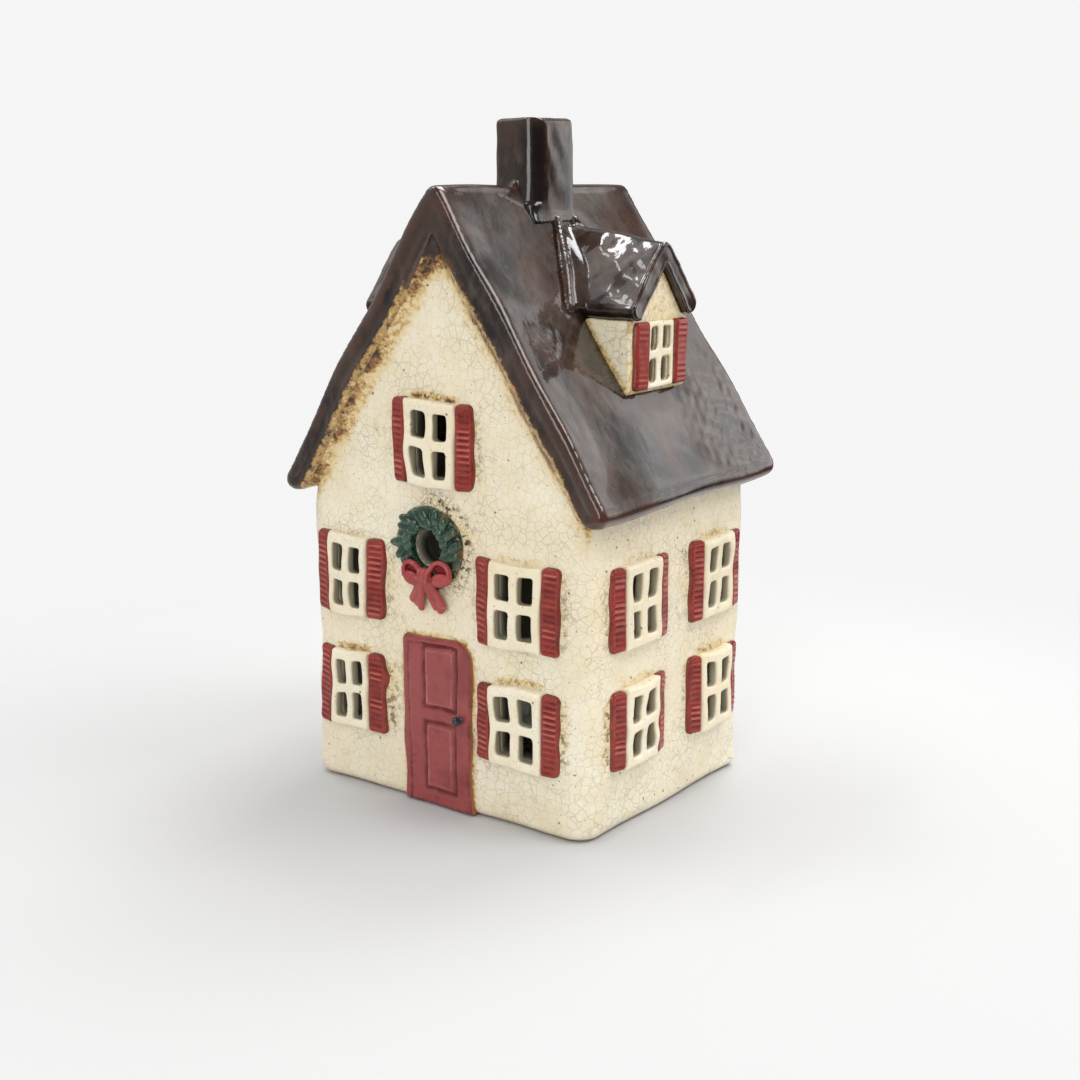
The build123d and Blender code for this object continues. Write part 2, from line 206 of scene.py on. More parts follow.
def mesh_of(name, points, faces):
    mesh = bpy.data.meshes.new(name)
    mesh.from_pydata((np.asarray(points) * MM).tolist(), [], faces)
    mesh.validate()
    return mesh


def remeshed(name, shape, voxel, rounds):
    """A new piece from a bmesh, one even skin round all of its shells, smoothed; with its points and normals."""
    rough = bpy.data.meshes.new(name + "_rough")
    shape.to_mesh(rough)
    shape.free()
    source = new_piece(name + "_rough", rough)
    skin = source.modifiers.new("skin", "REMESH")
    skin.mode = "VOXEL"
    skin.voxel_size = voxel * MM
    soft = source.modifiers.new("soft", "SMOOTH")
    soft.factor = 0.5
    soft.iterations = rounds
    graph = bpy.context.evaluated_depsgraph_get()
    mesh = bpy.data.meshes.new_from_object(source.evaluated_get(graph))
    mesh.name = name
    bpy.data.objects.remove(source)
    bpy.data.meshes.remove(rough)
    return new_piece(name, mesh), points_of(mesh), normals_of(mesh)


def solids(*nodes):
    """The CAD meshes of some nodes in one bmesh, with their split corners closed."""
    shape = bmesh.new()
    for node in nodes:
        shape.from_mesh(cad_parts[node].data)
    bmesh.ops.remove_doubles(shape, verts=shape.verts, dist=0.001 * MM)
    return shape


def add_ball(shape, centre, axes, radii, detail=2):
    """Adds an ellipsoid; axes are three directions and radii their half lengths."""
    place = Matrix.Identity(4)
    for column, (axis, radius) in enumerate(zip(axes, radii)):
        for row in range(3):
            place[row][column] = axis[row] * radius * MM
    place.translation = Vector(centre) * MM
    bmesh.ops.create_icosphere(shape, subdivisions=detail, radius=1, matrix=place)


def add_hull(shape, corners):
    """Adds the smallest closed skin round some corners."""
    verts = [shape.verts.new(Vector(corner) * MM) for corner in corners]
    bmesh.ops.convex_hull(shape, input=verts)


def dress(piece, material, slot, body, *nodes):
    """Gives a piece its material and its body, shades it smooth, and hides the CAD nodes that it stands for."""
    piece.data.materials.clear()
    piece.data.materials.append(material)
    piece.data.shade_smooth()
    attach(piece, body)
    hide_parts(*nodes)


def place_by_hand(piece, points, material, slot, *nodes, **held):
    """Moves a piece's points to their places on the hand-built house, and keeps what its material reads."""
    move_points(piece.data, by_hand(points))
    for key, values in held.items():
        store(piece.data, key, values)
    dress(piece, material, slot, "house", *nodes)


def add_piece(name, points, faces, material, slot, body, node, **held):
    """A new piece from points and faces, with what its material reads."""
    mesh = mesh_of(name, points, faces)
    for key, values in held.items():
        store(mesh, key, values)
    dress(new_piece(name, mesh), material, slot, body, node)


def round_upright(points, chosen, half_x, half_y, radius):
    """Draws the chosen points in to the rounded corners of a square plan."""
    half = np.array([half_x, half_y])
    beyond = np.abs(points[:, :2]) - half + radius
    far = np.hypot(beyond[:, 0], beyond[:, 1])
    outer = chosen & (beyond > 0).all(axis=1) & (far > radius)
    drawn = half - radius + beyond[outer] * (radius / far[outer])[:, None]
    points[outer, :2] = np.sign(points[outer, :2]) * drawn


def round_foot(points, chosen, half_x, half_y, corner, radius):
    """Draws the chosen points in to the rounded lower edges of a block with rounded upright corners."""
    beyond = np.abs(points[:, :2]) - np.array([half_x, half_y]) + corner[:, None]
    both = np.maximum(beyond, 0)
    flat = beyond.max(axis=1) <= 0
    both[flat] = beyond[flat] == beyond[flat].max(axis=1, keepdims=True)
    length = np.linalg.norm(both, axis=1)
    aside = np.where(flat, beyond.max(axis=1), length) - corner + radius
    low = radius - points[:, 2]
    far = np.hypot(aside, low)
    outer = chosen & (aside > 0) & (low > 0) & (far > radius)
    pull = radius / far[outer]
    away = both[outer] / length[outer, None] * np.sign(points[outer, :2])
    points[outer, 2] = radius - low[outer] * pull
    points[outer, :2] -= away * (aside[outer] * (1 - pull))[:, None]


# Materials

class Nodes:
    """A node tree; its methods add nodes and return sockets to build on."""

    def __init__(self, tree, coordinates):
        self.tree = tree
        self.place = self.add("ShaderNodeTexCoord").outputs[coordinates]

    def add(self, kind, **settings):
        node = self.tree.nodes.new(kind)
        for key, value in settings.items():
            setattr(node, key, value)
        return node

    def plug(self, socket, value):
        if isinstance(value, bpy.types.NodeSocket):
            self.tree.links.new(value, socket)
        elif isinstance(value, tuple) and len(value) == 3 and len(socket.default_value) == 4:
            socket.default_value = (*value, 1)
        else:
            socket.default_value = value

    def noise(self, scale, detail=3, roughness=0.55, place=None, colour=False):
        node = self.add("ShaderNodeTexNoise")
        self.plug(node.inputs["Vector"], place or self.place)
        node.inputs["Scale"].default_value = scale
        node.inputs["Detail"].default_value = detail
        node.inputs["Roughness"].default_value = roughness
        return node.outputs["Color" if colour else "Fac"]

    def swing(self, width, scale, detail=3, roughness=0.55):
        """Noise to either side of 0, over a width."""
        return self.math("MULTIPLY_ADD", self.noise(scale, detail, roughness), width, -width / 2)

    def cells(self, scale, feature, place=None):
        node = self.add("ShaderNodeTexVoronoi", feature=feature)
        self.plug(node.inputs["Vector"], place or self.place)
        node.inputs["Scale"].default_value = scale
        return node.outputs

    def stretched(self, scale):
        """Coordinates squeezed by a factor along each axis."""
        node = self.add("ShaderNodeMapping")
        self.plug(node.inputs["Vector"], self.place)
        node.inputs["Scale"].default_value = scale
        return node.outputs["Vector"]

    def shaken(self, scale, reach):
        """Coordinates moved about by noise, by up to a reach in millimetres."""
        node = self.add("ShaderNodeVectorMath", operation="MULTIPLY_ADD")
        self.plug(node.inputs[0], self.noise(scale, 2, colour=True))
        node.inputs[1].default_value = (2 * reach * MM,) * 3
        self.plug(node.inputs[2], self.place)
        return node.outputs["Vector"]

    def toward(self, direction):
        """How far the coordinates lie in a direction."""
        node = self.add("ShaderNodeVectorMath", operation="DOT_PRODUCT")
        self.plug(node.inputs[0], self.place)
        node.inputs[1].default_value = direction
        return node.outputs["Value"]

    def held(self, name):
        return self.add("ShaderNodeAttribute", attribute_name=name).outputs["Fac"]

    def math(self, operation, *values):
        node = self.add("ShaderNodeMath", operation=operation)
        for socket, value in zip(node.inputs, values):
            self.plug(socket, value)
        return node.outputs[0]

    def times(self, first, second):
        return self.math("MULTIPLY", first, second)

    def span(self, value, low, high, start=0.0, end=1.0, curve="SMOOTHSTEP"):
        """The value from low to high, carried along a curve to start to end."""
        node = self.add("ShaderNodeMapRange", interpolation_type=curve)
        self.plug(node.inputs["Value"], value)
        node.inputs["From Min"].default_value = low
        node.inputs["From Max"].default_value = high
        node.inputs["To Min"].default_value = start
        node.inputs["To Max"].default_value = end
        return node.outputs["Result"]

    def mix(self, share, first, second):
        """A colour between two."""
        node = self.add("ShaderNodeMix", data_type="RGBA")
        self.plug(node.inputs[0], share)
        self.plug(node.inputs[6], first)
        self.plug(node.inputs[7], second)
        return node.outputs[2]

    def between(self, share, first, second):
        """A number between two."""
        node = self.add("ShaderNodeMix", data_type="FLOAT")
        self.plug(node.inputs[0], share)
        self.plug(node.inputs[2], first)
        self.plug(node.inputs[3], second)
        return node.outputs[0]

    def bump(self, height, depth, normal=None):
        """A bump of a depth in millimetres for a height of one."""
        node = self.add("ShaderNodeBump")
        self.plug(node.inputs["Height"], height)
        node.inputs["Distance"].default_value = depth * MM
        if normal is not None:
            self.plug(node.inputs["Normal"], normal)
        return node.outputs["Normal"]


class Paint(Nodes):
    """One procedural material."""

    def __init__(self, name):
        self.material = bpy.data.materials.new(name)
        self.material.use_nodes = True
        super().__init__(self.material.node_tree, "Object")
        self.shader = self.tree.nodes["Principled BSDF"]

    def set(self, **values):
        """Values of the shader's own sockets, by their names with underscores."""
        for key, value in values.items():
            title = key.replace("_", " ").title().replace("Ior", "IOR")
            self.plug(self.shader.inputs[title], value)

    def mottle(self, smooth, rough, scale, detail=3):
        """A roughness that wanders between two."""
        return self.span(self.noise(scale, detail), 0.3, 0.7, smooth, rough)

    def dents(self, depth, scale, detail=3):
        """The normal of soft dents of a depth in millimetres."""
        return self.bump(self.noise(scale, detail), depth)

    def stained(self, colour, soaked, *layers):
        """A colour under layers of stain.

        Each layer has its grains with the values where they begin and are full, the values of the stain
        where the layer begins and is full, and its colour.
        """
        for grains, sparse, dense, faint, strong, tone in layers:
            share = self.times(self.span(grains, sparse, dense), self.span(soaked, faint, strong))
            colour = self.mix(share, colour, tone)
        return colour


cream = (0.82, 0.725, 0.53)
cream_pale = (0.86, 0.79, 0.62)
cream_warm = (0.78, 0.655, 0.41)
crackle_brown = (0.21, 0.165, 0.105)
straw = (0.74, 0.56, 0.25)
ochre = (0.50, 0.31, 0.10)
rust = (0.23, 0.105, 0.035)
umber = (0.045, 0.025, 0.014)
spilt_brown = (0.050, 0.029, 0.021)
raw_clay = (0.50, 0.36, 0.24)
reveal_shade_olive = (0.36, 0.32, 0.22)
shade_black = (0.022, 0.018, 0.013)


def cream_paint(name, crackle):
    """Crackled cream glaze over clay, with stain, spilt brown glaze, and painted shade in the openings and
    inside, where the mesh holds them.
    """
    paint = Paint(name)
    broad = paint.span(paint.noise(22, 2), 0.35, 0.65)
    cloud = paint.span(paint.noise(150, 4, 0.6), 0.42, 0.68)
    colour = paint.mix(broad, cream, cream_pale)
    colour = paint.mix(paint.times(cloud, 0.45), colour, cream_warm)

    # Crackle in two sizes, stronger in some places than in others
    shaken = paint.shaken(190, 1.1)
    patch = paint.span(paint.noise(48, 3), 0.36, 0.66, 0.28, 1.0)
    cracks = []
    for scale, width, strength in ((370, 0.075, 1.0), (850, 0.07, 0.55)):
        gap = paint.cells(scale, "DISTANCE_TO_EDGE", shaken)["Distance"]
        cracks.append(paint.times(paint.span(gap, 0.0, width, strength, 0.0), patch))
    lines = paint.math("MAXIMUM", *cracks)
    grime = paint.held("grime")
    darker = paint.math("MINIMUM", paint.math("MULTIPLY_ADD", grime, 0.9, crackle), 0.95)
    colour = paint.mix(paint.times(lines, darker), colour, crackle_brown)

    # Stain, from straw where it is faint to rust and umber grains where it is strong
    stain = paint.held("stain")
    patchy = paint.span(paint.noise(80, 4, 0.65), 0.34, 0.64, 0.62, 1.15)
    soaked = paint.times(stain, patchy)
    gritty = paint.math("ADD", soaked, paint.swing(3.0, 640, 4, 0.75))
    clotted = paint.math("ADD", soaked, paint.swing(2.4, 420, 4, 0.7))
    colour = paint.mix(paint.span(soaked, 0.03, 0.55, 0.0, 0.7), colour, straw)
    colour = paint.stained(
        colour,
        soaked,
        (gritty, 0.32, 1.05, 0.05, 0.25, ochre),
        (clotted, 0.78, 1.18, 0.15, 0.40, rust),
        (gritty, 1.12, 1.50, 0.20, 0.50, umber),
    )

    # Specks of iron, many small ones and a few large
    for scale, sure, more, radius, strength in ((900, 0.10, 0.35, 0.30, 0.5), (430, 0.035, 0.22, 0.24, 0.8)):
        specks = paint.cells(scale, "F1", paint.shaken(300, 0.6))
        chance = paint.add("ShaderNodeSeparateColor")
        paint.plug(chance.inputs[0], specks["Color"])
        limit = paint.math("MULTIPLY_ADD", paint.math("MAXIMUM", stain, grime), more, sure)
        chosen = paint.math("LESS_THAN", chance.outputs[0], limit)
        dot = paint.span(specks["Distance"], radius / 3, radius, strength, 0.0)
        colour = paint.mix(paint.times(chosen, dot), colour, umber)

    # Blots of grime, spilt brown glaze, painted shade in the openings and inside, and bare clay under the foot
    blots = paint.times(grime, paint.span(paint.noise(520, 3, 0.6), 0.50, 0.60))
    colour = paint.mix(blots, colour, umber)
    spill = paint.math("ADD", paint.held("brown"), paint.swing(1.6, 300, 4, 0.7))
    colour = paint.mix(paint.span(spill, 0.42, 0.62), colour, spilt_brown)
    # Painted shade: olive in the reveals, near black deeper in and inside the house
    inside = paint.held("inside")
    foot = paint.held("foot")
    colour = paint.mix(paint.span(inside, 0.0, 0.55), colour, reveal_shade_olive)
    colour = paint.mix(paint.span(inside, 0.45, 1.0), colour, shade_black)
    colour = paint.mix(foot, colour, raw_clay)
    bare = paint.math("MAXIMUM", inside, foot)
    paint.set(base_color=colour, ior=1.5)
    paint.set(roughness=paint.math("MULTIPLY_ADD", bare, 0.5, paint.mottle(0.16, 0.32, 90)))
    paint.set(normal=paint.bump(lines, -0.04, paint.dents(0.22, 110)))
    return paint.material


def brown_paint(name):
    """Dark brown gloss glaze in streaks, thin and reddish over edges, painted darker where a piece marks it,
    with painted shade inside.
    """
    paint = Paint(name)
    deep = (0.0085, 0.0045, 0.0032)
    body = (0.048, 0.0225, 0.0135)
    haze = (0.070, 0.044, 0.032)
    red = (0.070, 0.026, 0.015)
    runs = paint.noise(50, 5, 0.62, paint.stretched((1, 1, 0.45)))
    colour = paint.mix(paint.span(runs, 0.38, 0.60), deep, body)
    film = paint.noise(150, 5, 0.66, paint.stretched((1, 1, 0.5)))
    colour = paint.mix(paint.span(film, 0.48, 0.68, 0.0, 0.85), colour, haze)
    fleck = paint.span(paint.noise(260, 4, 0.6), 0.60, 0.72, 0.0, 0.45)
    colour = paint.mix(fleck, colour, red)
    thin = paint.times(paint.held("edge"), paint.span(paint.noise(120, 4, 0.65), 0.44, 0.64))
    colour = paint.mix(thin, colour, red)
    # Painted darker where a piece marks it: a dark reflection down the chimney's corner, and along the dormer
    # eaves
    colour = paint.mix(paint.held("painted_dark"), colour, deep)
    speck = paint.cells(320, "F1", paint.shaken(260, 0.8))["Distance"]
    colour = paint.mix(paint.span(speck, 0.04, 0.12, 0.7, 0.0), colour, deep)

    # Stain under the verges, like the one on the walls, and painted shade inside the room and the flue
    stain = paint.held("stain")
    inside = paint.held("inside")
    gritty = paint.math("ADD", stain, paint.swing(2.4, 400, 4, 0.7))
    clotted = paint.math("ADD", stain, paint.swing(2.4, 420, 4, 0.7))
    colour = paint.stained(
        colour,
        stain,
        (gritty, 0.40, 1.05, 0.03, 0.25, ochre),
        (clotted, 0.95, 1.35, 0.20, 0.60, straw),
        (gritty, 0.95, 1.25, 0.20, 0.60, rust),
    )
    paint.set(base_color=paint.mix(inside, colour, shade_black), ior=1.5)
    paint.set(roughness=paint.math("MULTIPLY_ADD", inside, 0.4, paint.mottle(0.22, 0.42, 70)))
    paint.set(specular_ior_level=0.25, coat_weight=1.0, coat_roughness=0.05, coat_ior=1.55)
    combed = paint.noise(210, 3, 0.6, paint.stretched((1, 1, 0.5)))
    combed = paint.bump(combed, 0.07, paint.dents(0.2, 62, 2))
    paint.set(normal=paint.bump(paint.span(speck, 0.0, 0.2), 0.05, combed), coat_normal=combed)
    return paint.material


def red_paint(name, deep, mid, pale):
    """Red glaze, pale on raised lines and deep red in the grooves: glaze that breaks and pools, with painted
    highlight and painted shade.
    """
    paint = Paint(name)
    line = (0.40, 0.17, 0.06)
    # Painted highlight on raised parts and painted shade in grooves and hollows, on top of the glaze's own
    # breaking and pooling
    worn = paint.math("ADD", paint.held("relief"), paint.swing(1.0, 260, 4, 0.65))
    colour = paint.mix(paint.span(worn, 0.0, 0.5), deep, mid)
    colour = paint.mix(paint.span(worn, 0.62, 1.1, 0.0, 0.85), colour, pale)
    colour = paint.mix(paint.span(paint.noise(70, 4), 0.48, 0.72, 0.0, 0.4), colour, deep)
    colour = paint.mix(paint.held("rim"), colour, line)
    speck = paint.cells(420, "F1", paint.shaken(300, 0.6))["Distance"]
    colour = paint.mix(paint.span(speck, 0.05, 0.14, 0.55, 0.0), colour, umber)
    paint.set(base_color=colour, ior=1.5)
    paint.set(roughness=paint.mottle(0.2, 0.38, 140), normal=paint.dents(0.16, 170))
    return paint.material


def green_paint(name):
    """Green gloss glaze, deep in the hollows and pale over the leaf tips: the glaze's own pooling and thinning,
    with painted shade and painted highlight.
    """
    paint = Paint(name)
    deep = (0.002, 0.017, 0.007)
    mid = (0.008, 0.050, 0.024)
    thin = (0.125, 0.160, 0.120)
    # Painted shade in the creases and painted highlight on raised leaves, on top of the glaze's own pooling and
    # thinning
    worn = paint.math("ADD", paint.held("relief"), paint.swing(1.0, 300, 4))
    colour = paint.mix(paint.span(worn, 0.1, 0.5), deep, mid)
    colour = paint.mix(paint.span(worn, 0.6, 1.0, 0.0, 0.75), colour, thin)
    stain = paint.times(paint.held("stain"), paint.span(paint.noise(380, 3), 0.46, 0.6))
    colour = paint.mix(stain, colour, rust)
    paint.set(base_color=colour, ior=1.5, coat_weight=0.8, coat_roughness=0.06, coat_ior=1.5)
    paint.set(roughness=paint.mottle(0.2, 0.4, 240), normal=paint.dents(0.12, 420))
    return paint.material


def knob_paint(name):
    """Blue-black gloss glaze."""
    paint = Paint(name)
    colour = paint.mix(paint.span(paint.noise(500, 3), 0.4, 0.65), (0.010, 0.016, 0.024), (0.04, 0.06, 0.075))
    paint.set(base_color=colour, ior=1.5, coat_weight=0.8, coat_roughness=0.06, coat_ior=1.5)
    paint.set(roughness=paint.mottle(0.15, 0.35, 700, 2), normal=paint.dents(0.08, 900, 2))
    return paint.material


def foil_paint(name):
    """Drawn aluminium, with fine lines round the wall and a few dull patches."""
    paint = Paint(name)
    lines = paint.noise(2600, 2, 0.5, paint.stretched((0.02, 0.02, 1)))
    dull = paint.span(paint.noise(140, 3), 0.45, 0.7)
    colour = paint.mix(dull, (0.80, 0.80, 0.79), (0.66, 0.66, 0.65))
    paint.set(base_color=colour, metallic=1.0)
    paint.set(roughness=paint.span(lines, 0.3, 0.7, 0.2, 0.42))
    paint.set(normal=paint.bump(lines, 0.02, paint.dents(0.15, 160, 2)))
    return paint.material


def wax_paint(name):
    """Paraffin, a little clear, with pale bloom and faint grain."""
    paint = Paint(name)
    bloom = paint.span(paint.noise(180, 4), 0.4, 0.7)
    colour = paint.mix(bloom, (0.86, 0.84, 0.77), (0.92, 0.91, 0.87))
    paint.set(base_color=colour, subsurface_weight=0.25, subsurface_scale=0.002, ior=1.44)
    paint.set(roughness=paint.mottle(0.32, 0.52, 350), normal=paint.dents(0.05, 480))
    return paint.material


def wick_paint(name):
    """Waxed cotton braid with a grey tip."""
    paint = Paint(name)
    strand = paint.noise(2200, 3, 0.6, paint.stretched((1, 1, 0.4)))
    colour = paint.mix(paint.span(strand, 0.35, 0.65), (0.62, 0.58, 0.49), (0.84, 0.81, 0.73))
    colour = paint.mix(paint.held("tip"), colour, (0.035, 0.032, 0.03))
    paint.set(base_color=colour, roughness=0.8)
    paint.set(normal=paint.bump(strand, 0.08))
    return paint.material


def plate_paint(name):
    """Tinned sheet with rubbed patches."""
    paint = Paint(name)
    rub = paint.span(paint.noise(420, 4), 0.4, 0.65)
    colour = paint.mix(rub, (0.55, 0.55, 0.54), (0.70, 0.70, 0.69))
    paint.set(base_color=colour, metallic=1.0)
    paint.set(roughness=paint.mottle(0.25, 0.45, 900), normal=paint.dents(0.03, 1200, 2))
    return paint.material


wall_glaze = cream_paint("wall_glaze", 0.42)
trim_glaze = cream_paint("trim_glaze", 0.16)
brown_glaze = brown_paint("brown_glaze")
shutter_glaze = red_paint("shutter_glaze", (0.110, 0.007, 0.006), (0.290, 0.032, 0.020), (0.47, 0.125, 0.095))
door_glaze = red_paint("door_glaze", (0.125, 0.011, 0.012), (0.300, 0.058, 0.056), (0.43, 0.150, 0.140))
bow_glaze = red_paint("bow_glaze", (0.170, 0.006, 0.006), (0.370, 0.062, 0.058), (0.56, 0.205, 0.185))
green_glaze = green_paint("green_glaze")
knob_glaze = knob_paint("knob_glaze")


# Places on the walls

wall_axes = {
    "front": (np.array([1.0, 0, 0]), np.array([0, -1.0, 0])),
    "right": (np.array([0, 1.0, 0]), np.array([1.0, 0, 0])),
    "left": (np.array([0, -1.0, 0]), np.array([-1.0, 0, 0])),
}
up = np.array([0, 0, 1.0])


class Seat:
    """Where a CAD node sits on its wall: its middle on the wall, its directions and its sizes."""

    def __init__(self, node, side):
        self.along, self.out = wall_axes[side]
        lo, hi = box_mm(node)
        size = hi - lo
        self.width = size @ np.abs(self.along)
        self.height = size[2]
        self.proud = size @ np.abs(self.out)
        self.middle = (lo + hi) / 2 - self.out * self.proud / 2

    def world(self, u, v, out):
        return (
            self.middle
            + np.multiply.outer(u, self.along)
            + np.multiply.outer(v, up)
            + np.multiply.outer(out, self.out)
        )

    def local(self, points):
        away = points - self.middle
        return away @ self.along, away[:, 2], away @ self.out

    def within(self, points, stile, rail, spread):
        """1 inside the frame's stiles and rails, and 0 a spread beyond them."""
        u, v, out = self.local(points)
        share = smoothstep(spread, 0, np.abs(u) - self.width / 2 + stile)
        return share * smoothstep(spread, 0, np.abs(v) - self.height / 2 + rail)


house_windows = [
    "front_gable",
    "front_upper_left",
    "front_upper_right",
    "front_lower_left",
    "front_lower_right",
]
for side in ("right", "left"):
    for place in ("upper_front", "upper_rear", "lower_front", "lower_rear"):
        house_windows.append(f"{side}_{place}")
dormer_windows = ["dormer_right", "dormer_left"]


def side_of(window):
    words = window.split("_")
    return words[1] if words[0] == "dormer" else words[0]


window_seats = {name: Seat("window_" + name, side_of(name)) for name in house_windows + dormer_windows}
shutter_seats = {name: Seat("shutters_" + name, side_of(name)) for name in house_windows + dormer_windows}
door_seat = Seat("front_door", "front")
wreath_seat = Seat("wreath", "front")


# Walls and base in one soft shell

# How strongly the glaze has run at each window: over its head, beside its right shutter and its left one
usual_runs = (0.5, 0.35, 0.35)
window_runs = {
    "front_gable": (1.0, 0.5, 0.15),
    "front_upper_left": (0.3, 0.5, 0.2),
    "front_upper_right": (0.3, 0.55, 0.3),
    "front_lower_left": (0.8, 0.8, 0.2),
    "front_lower_right": (0.8, 0.75, 0.15),
    "right_upper_front": (0.3, 0.2, 0.35),
    "right_upper_rear": (0.5, 0.2, 0.4),
    "right_lower_front": (0.4, 0.4, 0.9),
    "right_lower_rear": (0.7, 0.2, 0.4),
}
door_left_radius, door_right_radius = 2.6, 6.5
wreath_hole = 4.7


def outside_of(seat, u, v, left_radius=0.0, right_radius=0.0):
    """Distance from a seat's rectangle, in its wall's plane; its upper corners may be rounded."""
    radius = np.where(v > 0, np.where(u > 0, right_radius, left_radius), 0.0)
    beyond_u = np.maximum(np.abs(u) - seat.width / 2 + radius, 0)
    beyond_v = np.maximum(np.abs(v) - seat.height / 2 + radius, 0)
    return np.maximum(np.hypot(beyond_u, beyond_v) - radius, 0)


def fill_verges(shape):
    """Coves of clay in the corners between the gable walls and the roof's underside."""
    reach, fall, sunk, covered = 3.9, 4.8, 1.2, 1.2
    for end in (-1, 1):
        outward = np.array([0, end, 0.0])
        for side in (-1, 1):
            down = np.array([-side * math.sin(roof_pitch), 0, -math.cos(roof_pitch)])
            corners = []
            for x in (0.0, side * (half_width - 0.8)):
                joint = np.array([x, end * half_depth, roof_under(x)])
                corners += [joint + outward * reach, joint + outward * reach - down * covered]
                corners += [joint + down * fall, joint + down * fall - outward * sunk]
                corners.append(joint - outward * sunk - down * covered)
            add_hull(shape, corners)


def stain_under_verges(points):
    """Stain and spilt brown glaze under the verges, broad on the left of the front gable."""
    x, y, z = points.T
    under = np.maximum((roof_under(x) - z) * math.cos(roof_pitch), 0)
    front = smoothstep(-half_depth + 2.5, -half_depth + 1, y)
    rear = smoothstep(half_depth - 2.5, half_depth - 1, y)
    sides = smoothstep(half_width - 2.5, half_width - 1, np.abs(x))
    leftward = smoothstep(8, -10, x)
    from_apex = np.hypot(0.9 * x + 0.8, z - roof_under(0))
    broad = smoothstep(6.8, 0.5, under)
    slim = 0.85 * smoothstep(4.6, 2.2, under) + 0.3 * smoothstep(11, 4, under)
    stain = front * (1.05 * leftward * broad + (1 - leftward) * slim)
    stain += front * 0.7 * hump(from_apex - 9.0, 3)
    stain += rear * slim
    stain += sides * 0.4 * hump(np.maximum(soffit_height - z, 0), 2.2)
    brown = front * 0.9 * smoothstep(9.0, 5.0, from_apex)
    brown += (front + rear) * 0.5 * smoothstep(1.1, 0.0, under)
    return stain, brown


def mark_trim(points):
    """Stain, grime and gathered glaze round the windows, the wreath and the door, and painted shade in the
    openings.
    """
    stain, grime, swell, shaded_openings = np.zeros((4, len(points)))
    for name in house_windows:
        seat, pair = window_seats[name], shutter_seats[name]
        head_run, right_run, left_run = window_runs.get(name, usual_runs)
        u, v, out = pair.local(points)
        near = smoothstep(2.5, 1.0, np.abs(out))
        head = head_run * hump(v - seat.height / 2 - 0.8, 1.1) * smoothstep(10, 6, np.abs(u))
        beside = hump(np.abs(u) - pair.width / 2 - 0.8, 1.5) * smoothstep(13, 8, np.abs(v))
        beside *= np.where(u > 0, right_run, left_run)
        stain += near * (1.1 * head + 0.5 * beside)
        grime += near * (0.85 * head + 0.9 * beside)
        swell += near * 0.4 * hump(outside_of(pair, u, v), 1.1)
        # Painted shade in each window opening, darker deeper in
        opening = smoothstep(8, 5, np.abs(out)) * seat.within(points, frame_stile, frame_rail, 0.9)
        shaded_openings = np.maximum(shaded_openings, opening * (0.78 + 0.20 * smoothstep(-0.5, -4.5, out)))

    u, v, out = wreath_seat.local(points)
    near = smoothstep(2.5, 1.0, np.abs(out))
    ring = np.hypot(u, v) - wreath_seat.width / 2
    sprinkled = hump(ring - 1.2, 2.4) * smoothstep(-3, 8, u + 0.35 * v)
    stain += near * 0.30 * sprinkled
    grime += near * sprinkled
    swell += near * 0.4 * hump(np.maximum(ring, 0), 1.1)
    # Painted shade in the wreath's hole, darker deeper in
    opening = smoothstep(8, 5, np.abs(out)) * smoothstep(wreath_hole + 1.4, wreath_hole + 0.9, np.hypot(u, v))
    shaded_openings = np.maximum(shaded_openings, opening * (0.78 + 0.20 * smoothstep(-0.5, -4.0, out)))

    u, v, out = door_seat.local(points)
    near = smoothstep(2.5, 1.0, np.abs(out))
    gap = outside_of(door_seat, u, v, door_left_radius, door_right_radius)
    stain += near * 0.8 * hump(gap, 0.9)
    grime += near * 0.25 * hump(gap, 1.4)
    swell += near * 0.3 * hump(gap, 1.1)
    return stain, grime, swell, shaded_openings


def make_walls():
    """Walls and base, with coves under the verges; the front right corner is the roundest."""
    nodes = ("base_slab", "front_wall", "rear_wall", "left_wall", "right_wall")
    round_corner, plain_corner, foot_radius = 7.5, 3.5, 3.4
    shape = solids(*nodes)
    fill_verges(shape)
    piece, points, normals = remeshed("walls", shape, 0.9, 4)
    x, y, z = points.T
    verge_stain, brown = stain_under_verges(points)
    stain, grime, swell, shaded_openings = mark_trim(points)
    # Painted shade on the inside faces of the walls and the base
    inside = smoothstep(half_width - 1.6, half_width - 3.4, np.abs(x))
    inside *= smoothstep(half_depth - 1.6, half_depth - 3.4, np.abs(y))
    inside *= smoothstep(base_thickness - 1.5, base_thickness - 0.5, z)
    swell *= 1 - np.maximum(inside, shaded_openings)
    fine = Ripple(9, 22, 18)
    lifted = points + normals * ((swell + 0.10 * fine(points)) * smoothstep(0, 4, z))[:, None]
    plain = np.abs(y) < half_depth + 0.8
    front_right = (lifted[:, 0] > 0) & (lifted[:, 1] < 0)
    round_upright(lifted, plain & front_right, half_width, half_depth, round_corner)
    corners = np.where(front_right, round_corner, plain_corner)
    round_foot(lifted, plain, half_width, half_depth, corners, foot_radius)
    held = {
        "stain": np.clip(stain + verge_stain, 0, 1.2) * (1 - inside),
        "brown": np.clip(brown, 0, 1) * (1 - inside),
        "grime": np.clip(grime, 0, 1) * (1 - inside),
        "inside": np.maximum(0.75 * inside, shaded_openings),
        "foot": smoothstep(0.7, 0.2, z),
    }
    place_by_hand(piece, lifted, wall_glaze, "cream_glaze", *nodes, **held)


# Roof, chimney and dormers

